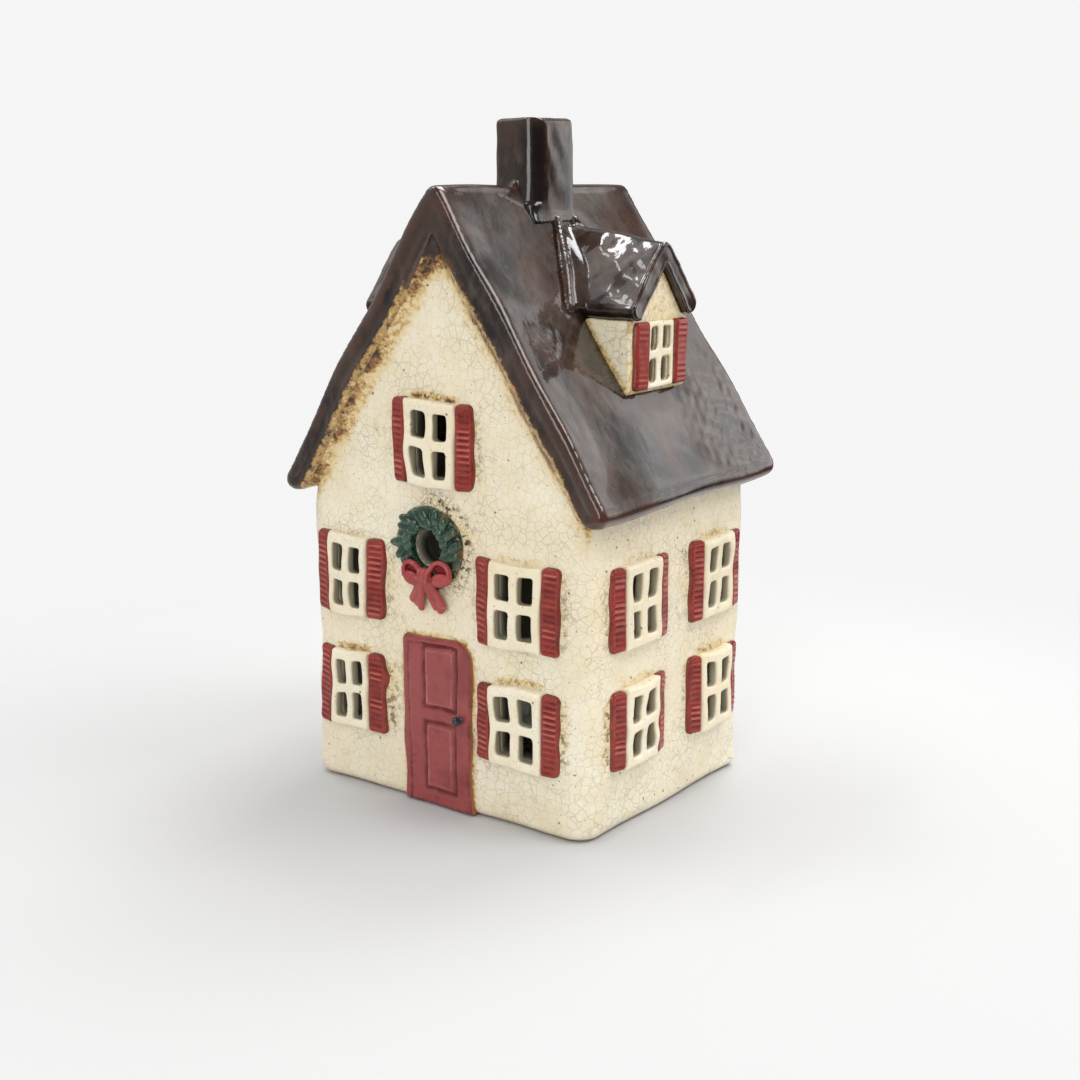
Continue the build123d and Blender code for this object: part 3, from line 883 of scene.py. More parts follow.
def glaze_brown(piece, points, *nodes, inside=0.0, stain=0.0, painted_dark=0.0):
    """Moves a piece's points to their places on the house and glazes it brown, worn along its edges."""
    mesh = piece.data
    move_points(mesh, by_hand(points))
    raised = convexity(mesh, points_of(mesh), normals_of(mesh))
    store(mesh, "edge", smoothstep(0.01, 0.05, raised))
    for key, values in (("inside", inside), ("stain", stain), ("painted_dark", painted_dark)):
        store(mesh, key, np.broadcast_to(values, len(points)))
    dress(piece, brown_glaze, "brown_glaze", "house", *nodes)


def make_roof():
    """Both slopes in one soft slab that swells towards its eaves and verges."""
    nodes = ("roof_left_slope", "roof_right_slope")
    creep = 1.6
    piece, points, normals = remeshed("roof", solids(*nodes), 0.85, 18)
    x, y, z = points.T
    depth = -above_roof(points)
    outer = smoothstep(4.5, 2.5, depth)
    reach = box_mm("roof_right_slope")[1]
    from_eave = (reach[0] - np.abs(x)) / math.cos(roof_pitch)
    from_verge = reach[1] - np.abs(y)
    swell = outer * smoothstep(13, 1.5, np.minimum(from_eave, from_verge))
    regain = 0.6 * np.maximum(swell, smoothstep(0.004, 0.03, convexity(piece.data, points, normals)))

    # Rolls and dimples all over, and wrinkles on the lower right
    rolls = Ripple(16, 36, 20)
    dimples = Ripple(6, 13, 26)
    wrinkle = Ripple(2.8, 8, 30)
    rough = smoothstep(24, 40, x) * smoothstep(5, 30, y) * smoothstep(140, 118, z)
    lift = 0.12 * rolls(points) + 0.012 * dimples(points) + 0.05 * rough * wrinkle(points)
    facing = np.abs(normals[:, 0]) * math.sin(roof_pitch) + normals[:, 2] * math.cos(roof_pitch)
    moved = points + normals * (outer * lift * smoothstep(0.75, 0.97, facing) + regain)[:, None]

    # Painted shade in the room and the flue, and stain that creeps up from the verges' undersides
    inside = smoothstep(half_width - 1, half_width - 4, np.abs(x))
    inside *= smoothstep(half_depth - 1, half_depth - 4, np.abs(y)) * smoothstep(4.5, 6.5, depth)
    flue = smoothstep(6.2, 5.4, np.abs(x)) * smoothstep(9.0, 8.0, np.abs(y)) * smoothstep(0.6, 2.5, depth)
    soffit = smoothstep(roof_thickness - creep - 0.8, roof_thickness - creep + 0.8, depth) * (1 - inside)
    soffit *= smoothstep(4, 14, np.abs(x)) * smoothstep(half_depth - 1.0, half_depth + 0.5, np.abs(y))
    glaze_brown(piece, moved, *nodes, inside=np.maximum(inside, flue), stain=0.9 * soffit)


def make_chimney():
    """The chimney, with a coil of clay smoothed round its foot and a lump on the ridge in front."""
    lo, hi = box_mm("chimney")
    coil, ridge_fall, corner_radius = 1.3, 1.8, 6.5
    shape = solids("chimney")
    for share in np.linspace(-1, 1, 13):
        for side in (-1, 1):
            for x, y in ((side * hi[0], share * hi[1]), (share * hi[0], side * hi[1])):
                height = min(roof_top(x) - 0.3, ridge_height - ridge_fall)
                add_ball(shape, (x, y, height), np.eye(3), (coil,) * 3)
    add_ball(shape, (1.8, lo[1] - 0.6, ridge_height - 2.6), np.eye(3), (3.4, 3.0, 2.4), 3)
    piece, points, normals = remeshed("chimney_stack", shape, 0.55, 40)

    # The smoothing drew the shaft in, so it gets its width and height back
    shaft = points[(points[:, 2] > ridge_height + 5) & (points[:, 2] < hi[2] - 5)]
    points[:, :2] *= hi[:2] / np.abs(shaft[:, :2]).max(axis=0)
    points[:, 2] += (hi[2] - points[:, 2].max()) * smoothstep(hi[2] - 12, hi[2] - 1, points[:, 2])
    x, y, z = points.T
    lumps = Ripple(6, 16, 20)
    moved = points + normals * (0.05 * lumps(points))[:, None]
    front_right = (x > 0) & (y < 0) & (z > ridge_height - 6)
    round_upright(moved, front_right, hi[0], hi[1], corner_radius)

    # Painted shade in the flue, and a painted dark reflection in a strip down the front right corner
    flat = points - (lo + hi) / 2
    flat[:, 2] = 0
    outward = flat / np.maximum(np.linalg.norm(flat, axis=1, keepdims=True), 0.1)
    facing = np.einsum("ij,ij->i", outward, normals)
    inside = smoothstep(0.0, -0.6, facing) * smoothstep(hi[2] - 1, hi[2] - 6, z)
    from_corner = np.hypot(x - hi[0], y - lo[1])
    painted_dark = 0.9 * smoothstep(5.5, 3.5, from_corner) * smoothstep(hi[2] - 1, hi[2] - 4, z)
    glaze_brown(piece, moved, "chimney", inside=inside, painted_dark=painted_dark)


def make_dormer_roof(side):
    """A dormer's small roof in brown, with pillowed slopes and a coil of clay along its valleys."""
    node = f"dormer_{side}_roof"
    lo, hi = box_mm(node)
    out = 1 if side == "right" else -1
    inner = lo[0] if side == "right" else hi[0]
    middle = (lo[1] + hi[1]) / 2
    coil, seam, pillow = 1.6, 4.6, 1.0
    slope_out = slope_normal(out)
    top = np.array([inner, middle, roof_top(inner)])
    shape = solids(node)
    for end in (lo[1], hi[1]):
        turn = np.sign(end - middle)
        valley = np.array([out * (ridge_height - lo[2]) / roof_slope, end, lo[2]]) - top
        aside = np.cross(valley, slope_out)
        aside *= np.sign(aside[1]) * turn / np.linalg.norm(aside)
        rising = np.cross(valley, (0, turn * math.sin(dormer_pitch), math.cos(dormer_pitch)))
        rising *= np.sign(rising @ slope_out) / np.linalg.norm(rising)
        corners = []
        for share, climb in ((0.04, 1.2), (0.96, 6.0)):
            place = top + valley * share
            corners += [place + aside * seam + slope_out * 0.5, place + aside * seam - slope_out]
            corners += [place + rising * climb, place - slope_out]
        add_hull(shape, corners)
        for share in np.linspace(0.03, 0.96, 26):
            add_ball(shape, top + valley * share + aside * seam, np.eye(3), (coil,) * 3)
    piece, points, normals = remeshed(f"dormer_roof_{side}", shape, 0.5, 12)
    rolls = Ripple(6, 16, 22)
    wrinkle = Ripple(3, 8, 26)
    lift = 0.10 * rolls(points) + 0.018 * wrinkle(points)
    regain = 0.4 * smoothstep(0.01, 0.04, convexity(piece.data, points, normals))
    climb = np.clip((points[:, 2] - lo[2]) / (hi[2] - lo[2]), 0, 1)
    along = np.clip(out * (points[:, 0] - inner) / (hi[0] - lo[0]), 0, 1)
    swell = 4 * pillow * climb * (1 - climb) - 0.9 * along ** 2
    moved = points + normals * (lift + regain + swell * smoothstep(0.3, 0.6, normals[:, 2]))[:, None]
    # Painted darker along the eave's lower edge
    glaze_brown(piece, moved, node, painted_dark=0.85 * smoothstep(lo[2] + 4, lo[2] + 1, points[:, 2]))


def make_dormer_walls(side):
    """A dormer's walls in cream, stained along their edges and sunk a little into the main roof."""
    node = f"dormer_{side}_walls"
    lo, hi = box_mm(node)
    seat = window_seats["dormer_" + side]
    piece, points, _ = remeshed(f"dormer_walls_{side}", solids(node), 0.55, 4)
    depth = -seat.local(points)[2]
    face = smoothstep(1.5, 0.5, depth)
    from_middle = np.abs(points[:, 1] - (lo[1] + hi[1]) / 2)
    joint = above_roof(points)
    under = np.where(face > 0.5, hi[2] - from_middle, lo[2] + hi[2]) - points[:, 2]
    stain = face * (0.3 + 0.7 * hump(np.maximum(under, 0), 2.6))
    stain += 0.9 * hump(np.maximum(joint, 0), 1.4) * (1 - face)
    stain += 0.4 * face * hump(joint, 1.2)
    # Painted shade inside the dormer and in its window's reveals
    shaded_hollow = from_middle < (hi[1] - lo[1]) / 2 - 2.0
    inside = 0.75 * shaded_hollow * smoothstep(1.5, 2.8, depth)
    panes = seat.within(points, dormer_stile, dormer_rail, 0.6) * smoothstep(-0.4, 1.4, depth)
    sink = 1.3 * smoothstep(1.2, 0.2, joint)
    sunk = points - slope_normal(seat.out[0]) * sink[:, None]
    stain = np.clip(stain, 0, 1) * (1 - inside)
    inside = np.maximum(inside, 0.62 * panes)
    place_by_hand(piece, sunk, wall_glaze, "cream_glaze", node, stain=stain, inside=inside, grime=0.5 * stain)


# Windows and shutters

def make_window(name):
    """A frame with its glazing bars, worn soft and a little uneven, with painted shade in its reveals."""
    node = "window_" + name
    seat = window_seats[name]
    stile, rail = (dormer_stile, dormer_rail) if name in dormer_windows else (frame_stile, frame_rail)
    piece, points, _ = remeshed(node + "_soft", solids(node), 0.42, 6)
    sway = Ripple(7, 18, 16, 3)
    out = seat.local(points)[2]
    moved = points + sway(points) * 0.16 * (0.4 + 0.6 * smoothstep(0, 1.5, out))[:, None]
    depth = seat.proud - out
    # Painted shade in the reveals, darker deeper in
    inside = 0.45 * smoothstep(0.25, 1.1, depth) + 0.13 * smoothstep(1.2, 3.2, depth)
    inside *= seat.within(points, stile, rail, 0.5)
    stain = 0.3 * smoothstep(0.9, 0.0, out)
    place_by_hand(piece, moved, trim_glaze, "cream_glaze", node, stain=stain, inside=inside)


def relief_plate(left, right, rows, columns, surface, foot):
    """Points, faces and held values of a closed plate.

    left, right and rows are each row's ends and height; surface gives the height and the held values
    of points on the plate from (u, v, distance to the edge); foot is the depth of the plate's back.
    """
    share = np.linspace(0, 1, columns)
    u = left[:, None] + (right - left)[:, None] * share
    v = np.broadcast_to(rows[:, None], u.shape)
    from_sides = np.minimum(u - left[:, None], right[:, None] - u)
    from_ends = np.minimum(v - rows[0], rows[-1] - v)
    height, held = surface(u, v, np.minimum(from_sides, from_ends))
    count = len(rows)
    index = np.arange(count * columns).reshape(count, columns)
    quads = np.stack([index[:-1, :-1], index[:-1, 1:], index[1:, 1:], index[1:, :-1]], -1).reshape(-1, 4)
    ring = np.concatenate([index[0, :-1], index[:-1, -1], index[-1, :0:-1], index[:0:-1, 0]])
    back = count * columns + np.arange(len(ring))
    sides = np.stack([np.roll(ring, -1), ring, back, np.roll(back, -1)], -1)
    faces = quads.tolist() + sides.tolist() + [back[::-1].tolist()]
    flat = np.stack([u.ravel(), v.ravel(), height.ravel()], -1)
    under = flat[ring].copy()
    under[:, 2] = foot
    values = {key: np.concatenate([value.ravel(), value.ravel()[ring]]) for key, value in held.items()}
    return np.concatenate([flat, under]), faces, values


def up_the_middle(heights):
    """Points of some heights on a plate's middle line."""
    return np.stack([heights * 0, heights, heights * 0], -1).reshape(-1, 3)


def rounded_rows(half_height, count, radius):
    """Heights of a plate's rows, closer together at its rounded ends, and how far each end draws in."""
    angle = np.linspace(-math.pi / 2, math.pi / 2, count)
    even = np.linspace(-1, 1, count)
    rows = half_height * (0.35 * np.sin(angle) + 0.65 * even)
    past = np.clip((np.abs(rows) - (half_height - radius)) / radius, 0, 1)
    return rows, radius * (1 - np.sqrt(1 - past ** 2))


def make_shutters(name):
    """Both shutters of a window: soft slabs that slope from the frame to the wall, with raised slats."""
    node = "shutters_" + name
    pair, window = shutter_seats[name], window_seats[name]
    frame_edge = window.width / 2
    width = pair.width / 2 - frame_edge
    thick, thin, slat_rise = (2.3, 1.8, 0.12) if name in dormer_windows else (3.1, 1.7, 0.6)
    slat_pitch, edge_round, corner_round = 1.72, 0.9, 1.9
    points, faces = [], []
    held = {"relief": [], "rim": []}
    for side in (-1, 1):
        height = pair.height / 2 + rng.uniform(-0.5, 0.4)
        lean = rng.uniform(-0.012, 0.012)
        phase = rng.random()
        strength = Ripple(5, 14, 8)
        sway = Ripple(8, 16, 8, 2)
        rows, draw_in = rounded_rows(height, 120, corner_round)
        inner = frame_edge - 0.15 + 0.6 * draw_in
        outer = frame_edge + width - draw_in + 0.22 * sway(up_the_middle(rows))[:, 0]
        left, right = (inner, outer) if side > 0 else (-outer, -inner)

        def surface(u, v, edge):
            across = (np.abs(u) - frame_edge) / width
            body = thick + (thin - thick) * across
            round_over = np.sqrt(1 - (1 - np.clip(edge / edge_round, 0, 1)) ** 2)
            middle = smoothstep(0.40, 0.26, np.abs(across - 0.5))
            middle *= smoothstep(height - 0.8, height - 2.0, np.abs(v))
            wave = (0.5 + 0.5 * np.cos(2 * math.pi * (v / slat_pitch + phase + 0.04 * u))) ** 1.2
            power = np.clip(0.75 + 0.5 * strength(up_the_middle(v)), 0.15, 1.2)
            slats = middle * wave * power.reshape(v.shape)
            top = (body - 0.25 + slat_rise * (slats - 0.5 * middle)) * (0.25 + 0.75 * round_over)
            # Painted highlight on the slats' crests, painted shade in their grooves and along the shutter's
            # edges
            shade = 0.45 + 0.95 * (slats - 0.28 * middle) * min(slat_rise / 0.5, 1)
            shade -= 0.35 * smoothstep(0.6, 0.0, edge)
            return top, {"relief": shade, "rim": 0.25 * smoothstep(0.1, 0.0, edge)}

        plate, plate_faces, values = relief_plate(left, right, rows, 17, surface, -1.0)
        plate[:, 0] += lean * plate[:, 1]
        start = len(points)
        points.extend(pair.world(*plate.T))
        faces.extend([[index + start for index in face] for face in plate_faces])
        for key in held:
            held[key].extend(values[key])
    points = by_hand(np.array(points))
    add_piece(node + "_soft", points, faces, shutter_glaze, "red_glaze", "house", node, **held)


# Door and knob

def make_door():
    """A soft-edged door with two panels, each a groove round a raised field."""
    half, tall = door_seat.width / 2, door_seat.height
    panel_width, panel_shift, panel_foot = 12.0, 1.2, 4.6
    lower_panel, upper_panel, panel_gap = 21.3, 19.7, 4.2
    rail_line, rail_depth, line_width = 2.6, 0.32, 0.45
    groove_width, groove_depth, lip_width = 0.62, 0.75, 0.5
    bevel, floor_gap = 1.3, 0.25
    rows = np.linspace(-tall / 2, tall / 2, 150)

    def corner(radius):
        past = np.clip((rows - (tall / 2 - radius)) / radius, 0, 1)
        return radius * (1 - np.sqrt(1 - 0.98 * past ** 2))

    sway = 0.22 * Ripple(12, 30, 10, 2)(up_the_middle(rows))
    left = -half + corner(door_left_radius) + sway[:, 0]
    right = half - corner(door_right_radius) + sway[:, 1]
    lower = -tall / 2 + panel_foot + lower_panel / 2
    upper = lower + (lower_panel + upper_panel) / 2 + panel_gap
    wander = Ripple(6, 20, 14)

    def surface(u, v, edge):
        drift = 0.09 * wander(np.stack([u, v, u * 0], -1).reshape(-1, 3)).reshape(u.shape)
        top = door_seat.proud * np.sqrt(1 - 0.85 * (1 - np.clip(edge / bevel, 0, 1)) ** 2)
        shade = np.full(u.shape, 0.5)
        aside = np.abs(u - panel_shift) - panel_width / 2
        for middle, height in ((lower, lower_panel), (upper, upper_panel)):
            beyond = np.maximum(aside, np.abs(v - middle) - height / 2) + drift
            groove = hump(beyond + 0.2, groove_width)
            lip = hump(beyond + 1.5, lip_width)
            outer_lip = hump(beyond - 1.0, lip_width)
            top += 0.14 * lip + 0.08 * outer_lip - groove_depth * groove
            # Painted highlight on the lips, painted shade in the grooves
            shade += 0.40 * lip + 0.12 * outer_lip - 0.42 * groove
        from_side = np.minimum(u + half, tall / 2 - v + 0.6)
        line = hump(from_side - rail_line + drift, line_width) * smoothstep(8, 4, u)
        top -= rail_depth * line + 0.12 * smoothstep(rail_line, rail_line - 0.6, from_side)
        # Painted shade along the incised line and the edges
        shade -= 0.32 * line + 0.25 * smoothstep(1.4, 0.2, edge)
        return top, {"relief": shade, "rim": 0.75 * smoothstep(0.42, 0.0, edge)}

    plate, faces, held = relief_plate(left, right, rows, 76, surface, -1.4)
    points = door_seat.world(*plate.T)
    points[:, 2] = np.maximum(points[:, 2], floor_gap)
    add_piece("door", by_hand(points), faces, door_glaze, "red_glaze", "house", "front_door", **held)


def lathe(profile, sides):
    """Points and faces of a profile of (radius, height) turned about the third axis, with closed ends."""
    profile = np.array(profile, float)
    angle = np.arange(sides) * 2 * math.pi / sides
    ring = np.stack([np.cos(angle), np.sin(angle)], -1)
    points = [np.column_stack([ring * radius, np.full(sides, height)]) for radius, height in profile]
    index = np.arange(len(profile) * sides).reshape(len(profile), sides)
    turned = np.roll(index, -1, axis=1)
    faces = np.stack([index[:-1], turned[:-1], turned[1:], index[1:]], -1).reshape(-1, 4).tolist()
    faces.append(index[0, ::-1].tolist())
    faces.append(index[-1].tolist())
    return np.concatenate(points), faces


def make_knob():
    """A pressed clay knob on its rose, a little out of round."""
    seat = Seat("door_knob", "front")
    radius = seat.width / 2 * 1.12
    profile = [(radius * 0.95, -0.4), (radius * 0.98, 0.12), (radius * 0.8, 0.32), (radius * 0.62, 0.45)]
    for turn in np.linspace(-0.9, 1.45, 12):
        profile.append((radius * math.cos(turn), seat.proud - radius + radius * math.sin(turn)))
    points, faces = lathe(profile, 28)
    points[:, :2] *= 1 + 0.07 * Ripple(1.5, 4, 10)(points)[:, None]
    points = by_hand(seat.world(*points.T))
    add_piece("knob", points, faces, knob_glaze, "knob_glaze", "house", "door_knob")


# Wreath and bow

def tilted(direction, normal):
    """Three axes: along the direction, across it, and as near to the normal as can be."""
    first = direction / np.linalg.norm(direction)
    second = np.cross(normal, first)
    second /= np.linalg.norm(second)
    return first, second, np.cross(first, second)


def make_wreath():
    """A ring of overlapping leaves round the hole, flat against the wall and pressed down under the bow."""
    seat = wreath_seat
    outer, hole = 13.2, 5.2
    ring, minor = (outer + hole) / 2, (outer - hole) / 2
    lumps, leaves = 90, 17
    shape = bmesh.new()
    upright = tilted(seat.along, seat.out)
    for step in range(lumps):
        angle = 2 * math.pi * step / lumps
        middle = seat.world(ring * math.cos(angle), ring * math.sin(angle), seat.proud * 0.2)
        add_ball(shape, middle, upright, (minor * 0.92, minor * 0.92, seat.proud * 0.45))
    for step in range(leaves):
        angle = 2 * math.pi * (step + rng.uniform(-0.2, 0.2)) / leaves
        along = -math.sin(angle) * seat.along + math.cos(angle) * up
        away = math.cos(angle) * seat.along + math.sin(angle) * up
        for offset, long in ((0.32, 2.7), (-0.45, 2.3)):
            radius = ring + (offset + rng.uniform(-0.08, 0.08)) * minor
            turned = angle + 0.10 * np.sign(offset)
            lifted = seat.proud * 0.62 + rng.uniform(-0.25, 0.25)
            middle = seat.world(radius * math.cos(turned), radius * math.sin(turned), lifted)
            lean = away + along * (0.75 + rng.uniform(-0.35, 0.35)) + seat.out * rng.uniform(-0.25, 0.25)
            size = rng.uniform(0.9, 1.12)
            add_ball(shape, middle, tilted(lean, seat.out), (long * size, 1.55 * size, 1.45 * size), 3)
    piece, points, normals = remeshed("wreath_leaves", shape, 0.28, 2)
    raised = convexity(piece.data, points, normals)
    u, v, out = seat.local(points)
    # Painted highlight on raised leaves and where the wreath stands furthest out, painted shade in the creases
    relief = 0.42 + 11.0 * raised + 0.25 * (out / seat.proud - 0.7)
    stain = 0.9 * smoothstep(outer - 2.2, outer, np.hypot(u, v)) * smoothstep(-2, 7, u)
    under_bow = smoothstep(1.25, 0.95, np.hypot((u - 0.8) / 9.4, (v + 7.6) / 4.6))
    sunk = np.minimum(out + 0.3, 0) + under_bow * np.maximum(out - 1.9, 0)
    points -= np.multiply.outer(sunk, seat.out)
    points[:, 2] -= 0.06 * np.maximum(v, 0)
    place_by_hand(piece, points, green_glaze, "green_glaze", "wreath", relief=relief, stain=stain)


def make_bow():
    """Two loops that open upwards, a folded knot and two creased tails, placed from the wreath's middle."""
    seat = wreath_seat
    rise = Seat("wreath_bow", "front").proud
    shape = bmesh.new()

    def ball(u, v, out, angle, radii):
        along = math.cos(angle) * seat.along + math.sin(angle) * up
        across = -math.sin(angle) * seat.along + math.cos(angle) * up
        add_ball(shape, seat.world(u, v, out), (along, across, seat.out), radii, 3)

    def ribbon(path, first, last, wide, thick):
        """Balls along a path of places on the wall, from one height off it to another."""
        path = np.array(path)
        lengths = np.concatenate([[0], np.cumsum(np.hypot(*np.diff(path, axis=0).T))])
        for share in np.linspace(0, 1, 14):
            reach = share * lengths[-1]
            u, v = (np.interp(reach, lengths, path[:, axis]) for axis in (0, 1))
            nearby = np.interp(min(reach + 0.3, lengths[-1]), lengths, np.arange(len(path)))
            step = path[min(int(nearby) + 1, len(path) - 1)] - path[min(int(nearby), len(path) - 2)]
            ball(u, v, first + (last - first) * share, math.atan2(step[1], step[0]), (0.9, wide, thick))

    # Each loop: a full lobe below, the rim of its mouth above and the floor of the mouth between them
    ball(-4.7, -9.3, rise - 1.5, -0.12, (3.4, 2.1, 1.7))
    ball(6.4, -8.9, rise - 1.5, 0.12, (3.4, 2.2, 1.7))
    ball(-4.9, -6.6, rise - 2.6, 0.0, (3.0, 2.0, 0.9))
    ball(6.1, -5.9, rise - 2.6, 0.0, (3.1, 2.2, 0.9))
    left_mouth = ((-7.9, -8.8), (-8.0, -6.9), (-7.0, -5.3), (-5.2, -4.7), (-3.0, -5.2), (-1.0, -6.4))
    right_mouth = ((9.6, -8.4), (9.5, -6.0), (8.6, -4.6), (7.0, -3.8), (5.2, -3.8), (3.8, -4.8), (2.4, -6.6))
    for mouth in (left_mouth, right_mouth):
        ribbon(mouth, 3.0, rise - 1.0, 0.75, 1.1)

    # The knot's upright folds
    ball(0.7, -8.1, rise - 1.3, 0.0, (2.2, 2.6, 1.7))
    for u, turn in ((-0.8, 1.75), (0.7, 1.57), (2.1, 1.40)):
        ball(u, -8.0, rise - 0.5, turn, (2.4, 0.62, 1.0))

    # The tails' folds, which fan out from under the knot; the middle fold of each tail lies lower
    outer_fold, middle_fold = (rise - 1.2, 1.5), (rise - 1.5, 1.1)
    ribbon(((-1.4, -10.4), (-3.8, -13.4), (-5.9, -15.9)), *outer_fold, 1.3, 0.8)
    ribbon(((-1.0, -10.6), (-2.6, -14.0), (-4.2, -17.0)), *middle_fold, 1.4, 0.8)
    ribbon(((-0.4, -10.6), (-1.3, -14.0), (-2.5, -17.9)), *outer_fold, 1.2, 0.8)
    ribbon(((1.2, -10.6), (2.0, -14.0), (3.1, -17.3)), *outer_fold, 1.15, 0.8)
    ribbon(((1.9, -10.6), (3.2, -14.2), (4.6, -18.2)), *middle_fold, 1.3, 0.8)
    ribbon(((2.6, -10.4), (4.3, -13.4), (5.9, -17.0)), *outer_fold, 1.15, 0.8)
    piece, points, normals = remeshed("bow", shape, 0.25, 3)
    u, v, out = seat.local(points)
    # Painted shade in the mouths of the loops, and painted highlight on raised folds
    shaded_hollow = hump(u + 4.9, 2.7) * hump(v + 6.6, 1.6) + hump(u - 6.1, 2.7) * hump(v + 5.8, 1.6)
    shaded_hollow *= smoothstep(rise - 0.6, rise - 1.6, out)
    relief = 0.48 + 9.0 * convexity(piece.data, points, normals) - 1.3 * shaded_hollow
    points -= np.multiply.outer(np.minimum(out + 0.2, 0), seat.out)
    place_by_hand(piece, points, bow_glaze, "red_glaze", "wreath_bow", relief=relief)


# Tealight

tealight_sides = 96


def make_cup():
    """The aluminium cup, with a stepped floor, a fluted wall and a rolled rim."""
    lo, hi = box_mm("tealight_cup")
    rim, floor, top = hi[0], lo[2], hi[2]
    radius = rim - 0.5
    sheet, step, flutes = 0.4, 0.25, 48
    profile = [(0.5, floor), (radius * 0.35, floor)]
    profile += [(radius * 0.36, floor + step), (radius * 0.86, floor + step)]
    profile += [(radius * 0.88, floor), (radius - 0.8, floor), (radius - 0.25, floor + 0.25)]
    profile += [(radius, floor + 0.9), (radius, top - 1.4), (radius + 0.1, top - 1.0)]
    profile += [(rim, top - 0.75), (rim, top - 0.2), (rim - 0.25, top)]
    profile += [(radius - 0.1, top), (radius - sheet, top - 0.35), (radius - sheet, floor + 1.0)]
    profile += [(radius - 0.9, floor + sheet), (0.5, floor + sheet)]
    points, faces = lathe(profile, tealight_sides)
    x, y, z = points.T
    wall = smoothstep(radius - 1.0, radius - 0.45, np.hypot(x, y))
    wall *= smoothstep(floor + 1, floor + 3, z) * smoothstep(top - 1.2, top - 2.6, z)
    flute = 0.5 + 0.5 * np.cos(flutes * np.arctan2(y, x))
    points[:, :2] *= (1 - 0.0035 * wall * flute)[:, None]
    add_piece("cup", points, faces, foil_paint("cup_foil"), "cup_foil", "tealight", "tealight_cup")


def make_wax():
    """The candle, a little dished round its wick."""
    lo, hi = box_mm("candle_wax")
    radius, floor, top = hi[0], lo[2], hi[2]
    dish = 0.55
    profile = [(2.0, floor), (radius - 0.8, floor), (radius - 0.2, floor + 0.4), (radius, floor + 1.2)]
    profile += [(radius, top - 0.9), (radius - 0.1, top - 0.35)]
    profile += [(radius - 0.5, top - 0.05), (radius - 1.1, top)]
    profile += [(radius * share, top - dish * (1 - share) ** 0.8) for share in np.linspace(0.9, 0.2, 15)]
    profile += [(1.8, top - 0.42), (1.1, top - 0.2), (0.75, top + 0.1), (0.4, top + 0.1)]
    points, faces = lathe(profile, tealight_sides)
    skin = smoothstep(top - 1.5, top - 0.5, points[:, 2])
    points[:, 2] += 0.07 * skin * Ripple(6, 16, 12)(points)
    add_piece("wax", points, faces, wax_paint("wax"), "wax", "candle", "candle_wax")


def make_wick():
    """A braided wick, bent near its dark tip."""
    lo, hi = box_mm("candle_wick")
    radius, floor, tall = hi[0], lo[2], hi[2] - lo[2]
    strands, twist_length = 3, 3.4
    profile = [(radius * 0.93, height) for height in np.linspace(0, 1, 90)]
    points, faces = lathe(profile, 24)
    share = points[:, 2].copy()
    turn = np.arctan2(points[:, 1], points[:, 0])
    twist = 2 * math.pi * tall / twist_length * share
    braid = 0.14 * np.cos(strands * (turn - twist))
    points[:, :2] *= (1 + braid - 0.25 * smoothstep(0.985, 1.0, share))[:, None]
    points[:, 0] += 0.9 * smoothstep(0.6, 1.0, share) ** 2
    points[:, 1] += 0.35 * np.sin(7 * share) * smoothstep(0.62, 0.9, share)
    points[:, 2] = floor + tall * share
    tip = smoothstep(0.93, 0.99, share)
    add_piece("wick", points, faces, wick_paint("wick"), "wick", "candle", "candle_wick", tip=tip)


def make_wick_plate():
    """The wick's tin plate, with a neck crimped round the wick."""
    lo, hi = box_mm("wick_sustainer")
    radius, floor, top = hi[0], lo[2], hi[2]
    neck, sheet, crimps = 1.7, 0.5, 4
    profile = [(0.6, floor), (1.1, floor - 0.02), (radius - 0.3, floor)]
    profile += [(radius, floor + 0.15), (radius, floor + 0.4), (radius - 0.25, floor + sheet)]
    profile += [(neck + 1.2, floor + sheet), (neck + 0.4, floor + 0.7), (neck, floor + 1.3)]
    profile += [(neck * 0.92, top - 0.4), (neck * 0.85, top - 0.05), (neck * 0.5, top)]
    points, faces = lathe(profile, 60)
    turn = np.arctan2(points[:, 1], points[:, 0])
    crimp = smoothstep(floor + 0.8, top - 0.6, points[:, 2])
    points[:, :2] *= (1 - 0.12 * crimp * (0.5 + 0.5 * np.cos(crimps * turn)))[:, None]
    tin = plate_paint("sustainer_plate")
    add_piece("wick_plate", points, faces, tin, "sustainer_plate", "candle", "wick_sustainer")


make_walls()
make_roof()
make_chimney()
for side in ("right", "left"):
    make_dormer_roof(side)
    make_dormer_walls(side)
for name in house_windows + dormer_windows:
    make_window(name)
    make_shutters(name)
make_door()
make_knob()
make_wreath()
make_bow()
make_cup()
make_wax()
make_wick()
make_wick_plate()


# Floor, light and camera

backdrop = (0.915, 0.915, 0.915)
floor_albedo = 0.54
floor_radius = 3000.0
fade_start, fade_end = 0.15, 0.33
world_light = 0.90
dim_side, bright_side = (0.05, 0.42), 1.6
dim_from = (-0.93, -0.37, 0.0)
bright_toward = (0.38, 0.90, 0.20)
bright_from, bright_to = 0.89, 0.98


